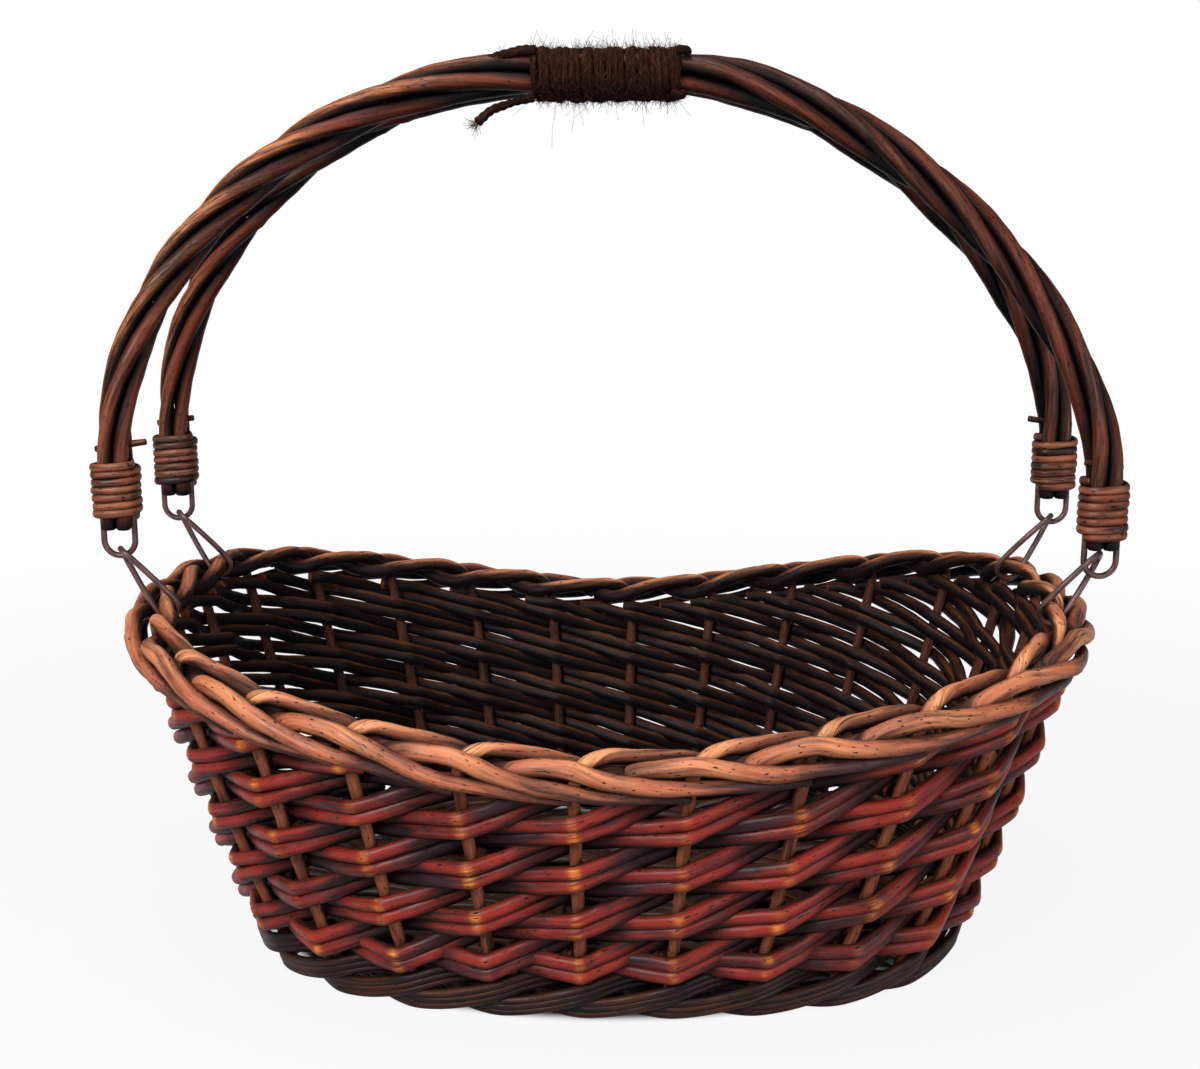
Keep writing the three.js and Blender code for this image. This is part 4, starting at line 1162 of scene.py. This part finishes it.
def make_loop(corner, side_x, side_y, drop):
    """A wire loop bound into a foot of the handle: a half circle between two upright legs."""
    x, y = side_x * HANDLE_SPAN / 2, side_y * FOOT_Y
    contact = FOOT_END_HEIGHT - LOOP_DROP - drop
    turn = np.linspace(PI, TURN, LOOP_ARC_POINTS)
    arc = points(x + np.cos(turn) * LOOP_HALF_WIDTH, y,
                 contact + LOOP_HALF_WIDTH + np.sin(turn) * LOOP_HALF_WIDTH)
    top = FOOT_END_HEIGHT - drop + LOOP_LEG_RISE
    leg = np.linspace(top, arc[0, 2], LOOP_LEG_POINTS, endpoint=False)
    path = np.concatenate([points(arc[0, 0], y, leg), arc, points(arc[-1, 0], y, leg[::-1])])
    made = rod(path, (0, 1, 0), WIRE_RADIUS, rough=0.01)
    piece(f"handle_loop_{corner}_wire", [made], WIRE_LOOK, "handle", "wire", f"handle_loop_{corner}")


def make_link(corner, side_x):
    """A closed slim ring of two half circles, whose width turns about its length: its lower arc goes
    round a border rod, and its upper arc through the handle's loop."""
    name = f"rim_link_{corner}"
    joint = next(j for j in frame["joints"] if j["child"] == name)
    bottom = np.array(joint["pos_m"]) / MM
    top = np.array([side_x * HANDLE_SPAN / 2, bottom[1], FOOT_END_HEIGHT - LOOP_DROP + LINK_OVER_LOOP])
    length = np.linalg.norm(top - bottom)
    along = (top - bottom) / length
    across = unit(np.cross(along, [0.0, 1.0, 0.0]))
    over = np.cross(along, across)
    turn = np.linspace(0, PI, LINK_ARC_POINTS)
    high = points(np.cos(turn) * LINK_HALF_WIDTH,
                  length - LINK_HALF_WIDTH + np.sin(turn) * LINK_HALF_WIDTH, 0)
    low = points(-np.cos(turn) * LINK_BOTTOM_RADIUS,
                 LINK_BOTTOM_RADIUS - np.sin(turn) * LINK_BOTTOM_RADIUS, 0)
    ring = resample(np.concatenate([high, low, high[:1]]), LINK_STEP)[:-1]
    twist = math.radians(LINK_TWISTS[corner]) * side_x * ring[:, 1] / length
    direction = across * np.cos(twist)[:, None] + over * np.sin(twist)[:, None]
    path = bottom + along * ring[:, 1:2] + direction * ring[:, :1]
    made = rod(soften(path, 1.2, closed=True), np.cross(direction, along), WIRE_RADIUS, closed=True)
    piece(f"{name}_wire", [made], WIRE_LOOK, name, "wire", name)


def make_wire():
    """A loop and a link at each corner of the handle."""
    for corner, (side_x, side_y, drop) in CORNERS.items():
        make_loop(corner, side_x, side_y, drop)
        make_link(corner, side_x)


# Studio

def floor_look():
    """White to the camera and in reflections, with a share of the true shadow left in near the part,
    and all of it inside the basket's foot, so that the gaps of the base stay dark."""
    material, tree, shader = new_material("floor_white")
    tree.nodes.remove(shader)
    rays = tree.nodes.new("ShaderNodeLightPath").outputs
    seen = math_node(tree, "MAXIMUM", rays["Is Camera Ray"], rays["Is Glossy Ray"])
    seen = math_node(tree, "MAXIMUM", seen, rays["Is Transmission Ray"])
    place = tree.nodes.new("ShaderNodeTexCoord").outputs["Object"]
    far = node(tree, "ShaderNodeVectorMath", {0: place}, operation="LENGTH").outputs["Value"]
    kept = ranged(tree, far, FLOOR_NEAR, FLOOR_FAR, 1 - FLOOR_SHADOW, 1.0)
    shares = (2 / (BASE_LENGTH * MM), 2 / (BASE_DEPTH * MM), 0)
    foot = node(tree, "ShaderNodeVectorMath", {0: place, 1: shares}, operation="MULTIPLY")
    reach = node(tree, "ShaderNodeVectorMath", {0: foot.outputs["Vector"]}, operation="LENGTH")
    outside = ranged(tree, reach.outputs["Value"], FOOT_SHADE_IN, FOOT_SHADE_OUT)
    kept = math_node(tree, "MULTIPLY", kept, outside)
    grey = (FLOOR_GREY, FLOOR_GREY, FLOOR_GREY, 1)
    blend = node(tree, "ShaderNodeMixShader", {
        0: math_node(tree, "MULTIPLY", seen, kept),
        1: node(tree, "ShaderNodeBsdfDiffuse", {"Color": grey}).outputs[0],
        2: node(tree, "ShaderNodeEmission", {"Color": (1, 1, 1, 1), "Strength": 1.0}).outputs[0],
    })
    feed(tree, tree.nodes["Material Output"], {"Surface": blend.outputs[0]})
    return material


def make_studio():
    """A floor at the lowest point of the part, an even sky and three soft lamps."""
    mesh = bpy.data.meshes.new("floor")
    low = CAD_BOX[0][2]
    corners = ((-1, -1), (1, -1), (1, 1), (-1, 1))
    mesh.from_pydata([(x * FLOOR_HALF, y * FLOOR_HALF, low) for x, y in corners], [], [(0, 1, 2, 3)])
    mesh.materials.append(floor_look())
    add_object("floor", mesh)
    world = bpy.data.worlds.new("studio")
    bpy.context.scene.world = world
    world.use_nodes = True
    tree = world.node_tree
    rays = tree.nodes.new("ShaderNodeLightPath").outputs
    seen = math_node(tree, "MAXIMUM", rays["Is Camera Ray"], rays["Is Transmission Ray"])
    strength = ranged(tree, seen, 0.0, 1.0, SKY_LIGHT, 1.0)
    feed(tree, tree.nodes["Background"], {"Color": (1, 1, 1, 1), "Strength": strength})
    for name, values in LAMPS.items():
        add_lamp(name, *values)


def add_lamp(name, place, target, size, power):
    """A square lamp whose back axis points away from its target."""
    light = bpy.data.lights.new(name, "AREA")
    light.size = size
    light.energy = power
    lamp = add_object(name, light)
    lamp.location = place
    lamp.rotation_euler = (Vector(target) - Vector(place)).to_track_quat("-Z", "Y").to_euler()


def make_camera():
    """The photograph's camera. Its lens is the sensor's width times focal pixels over photo width."""
    data = bpy.data.cameras.new("camera")
    data.sensor_fit = "HORIZONTAL"
    data.sensor_width = SENSOR
    data.lens = SENSOR * FOCAL_PIXELS / PHOTO_WIDTH
    data.clip_start = CLIP_START
    camera = add_object("camera", data)
    axes = Matrix([CAMERA_RIGHT, CAMERA_UP, [-a for a in CAMERA_AHEAD]]).transposed().to_4x4()
    camera.matrix_world = Matrix.Translation(Vector(CAMERA_PLACE) * MM) @ axes
    bpy.context.scene.camera = camera


bpy.context.scene.view_settings.view_transform = "Standard"
make_camera()
make_studio()
make_stakes()
make_side_weave()
make_foot()
make_base_frame()
make_base_weave()
make_handle()
make_bindings()
make_grip()
make_wire()
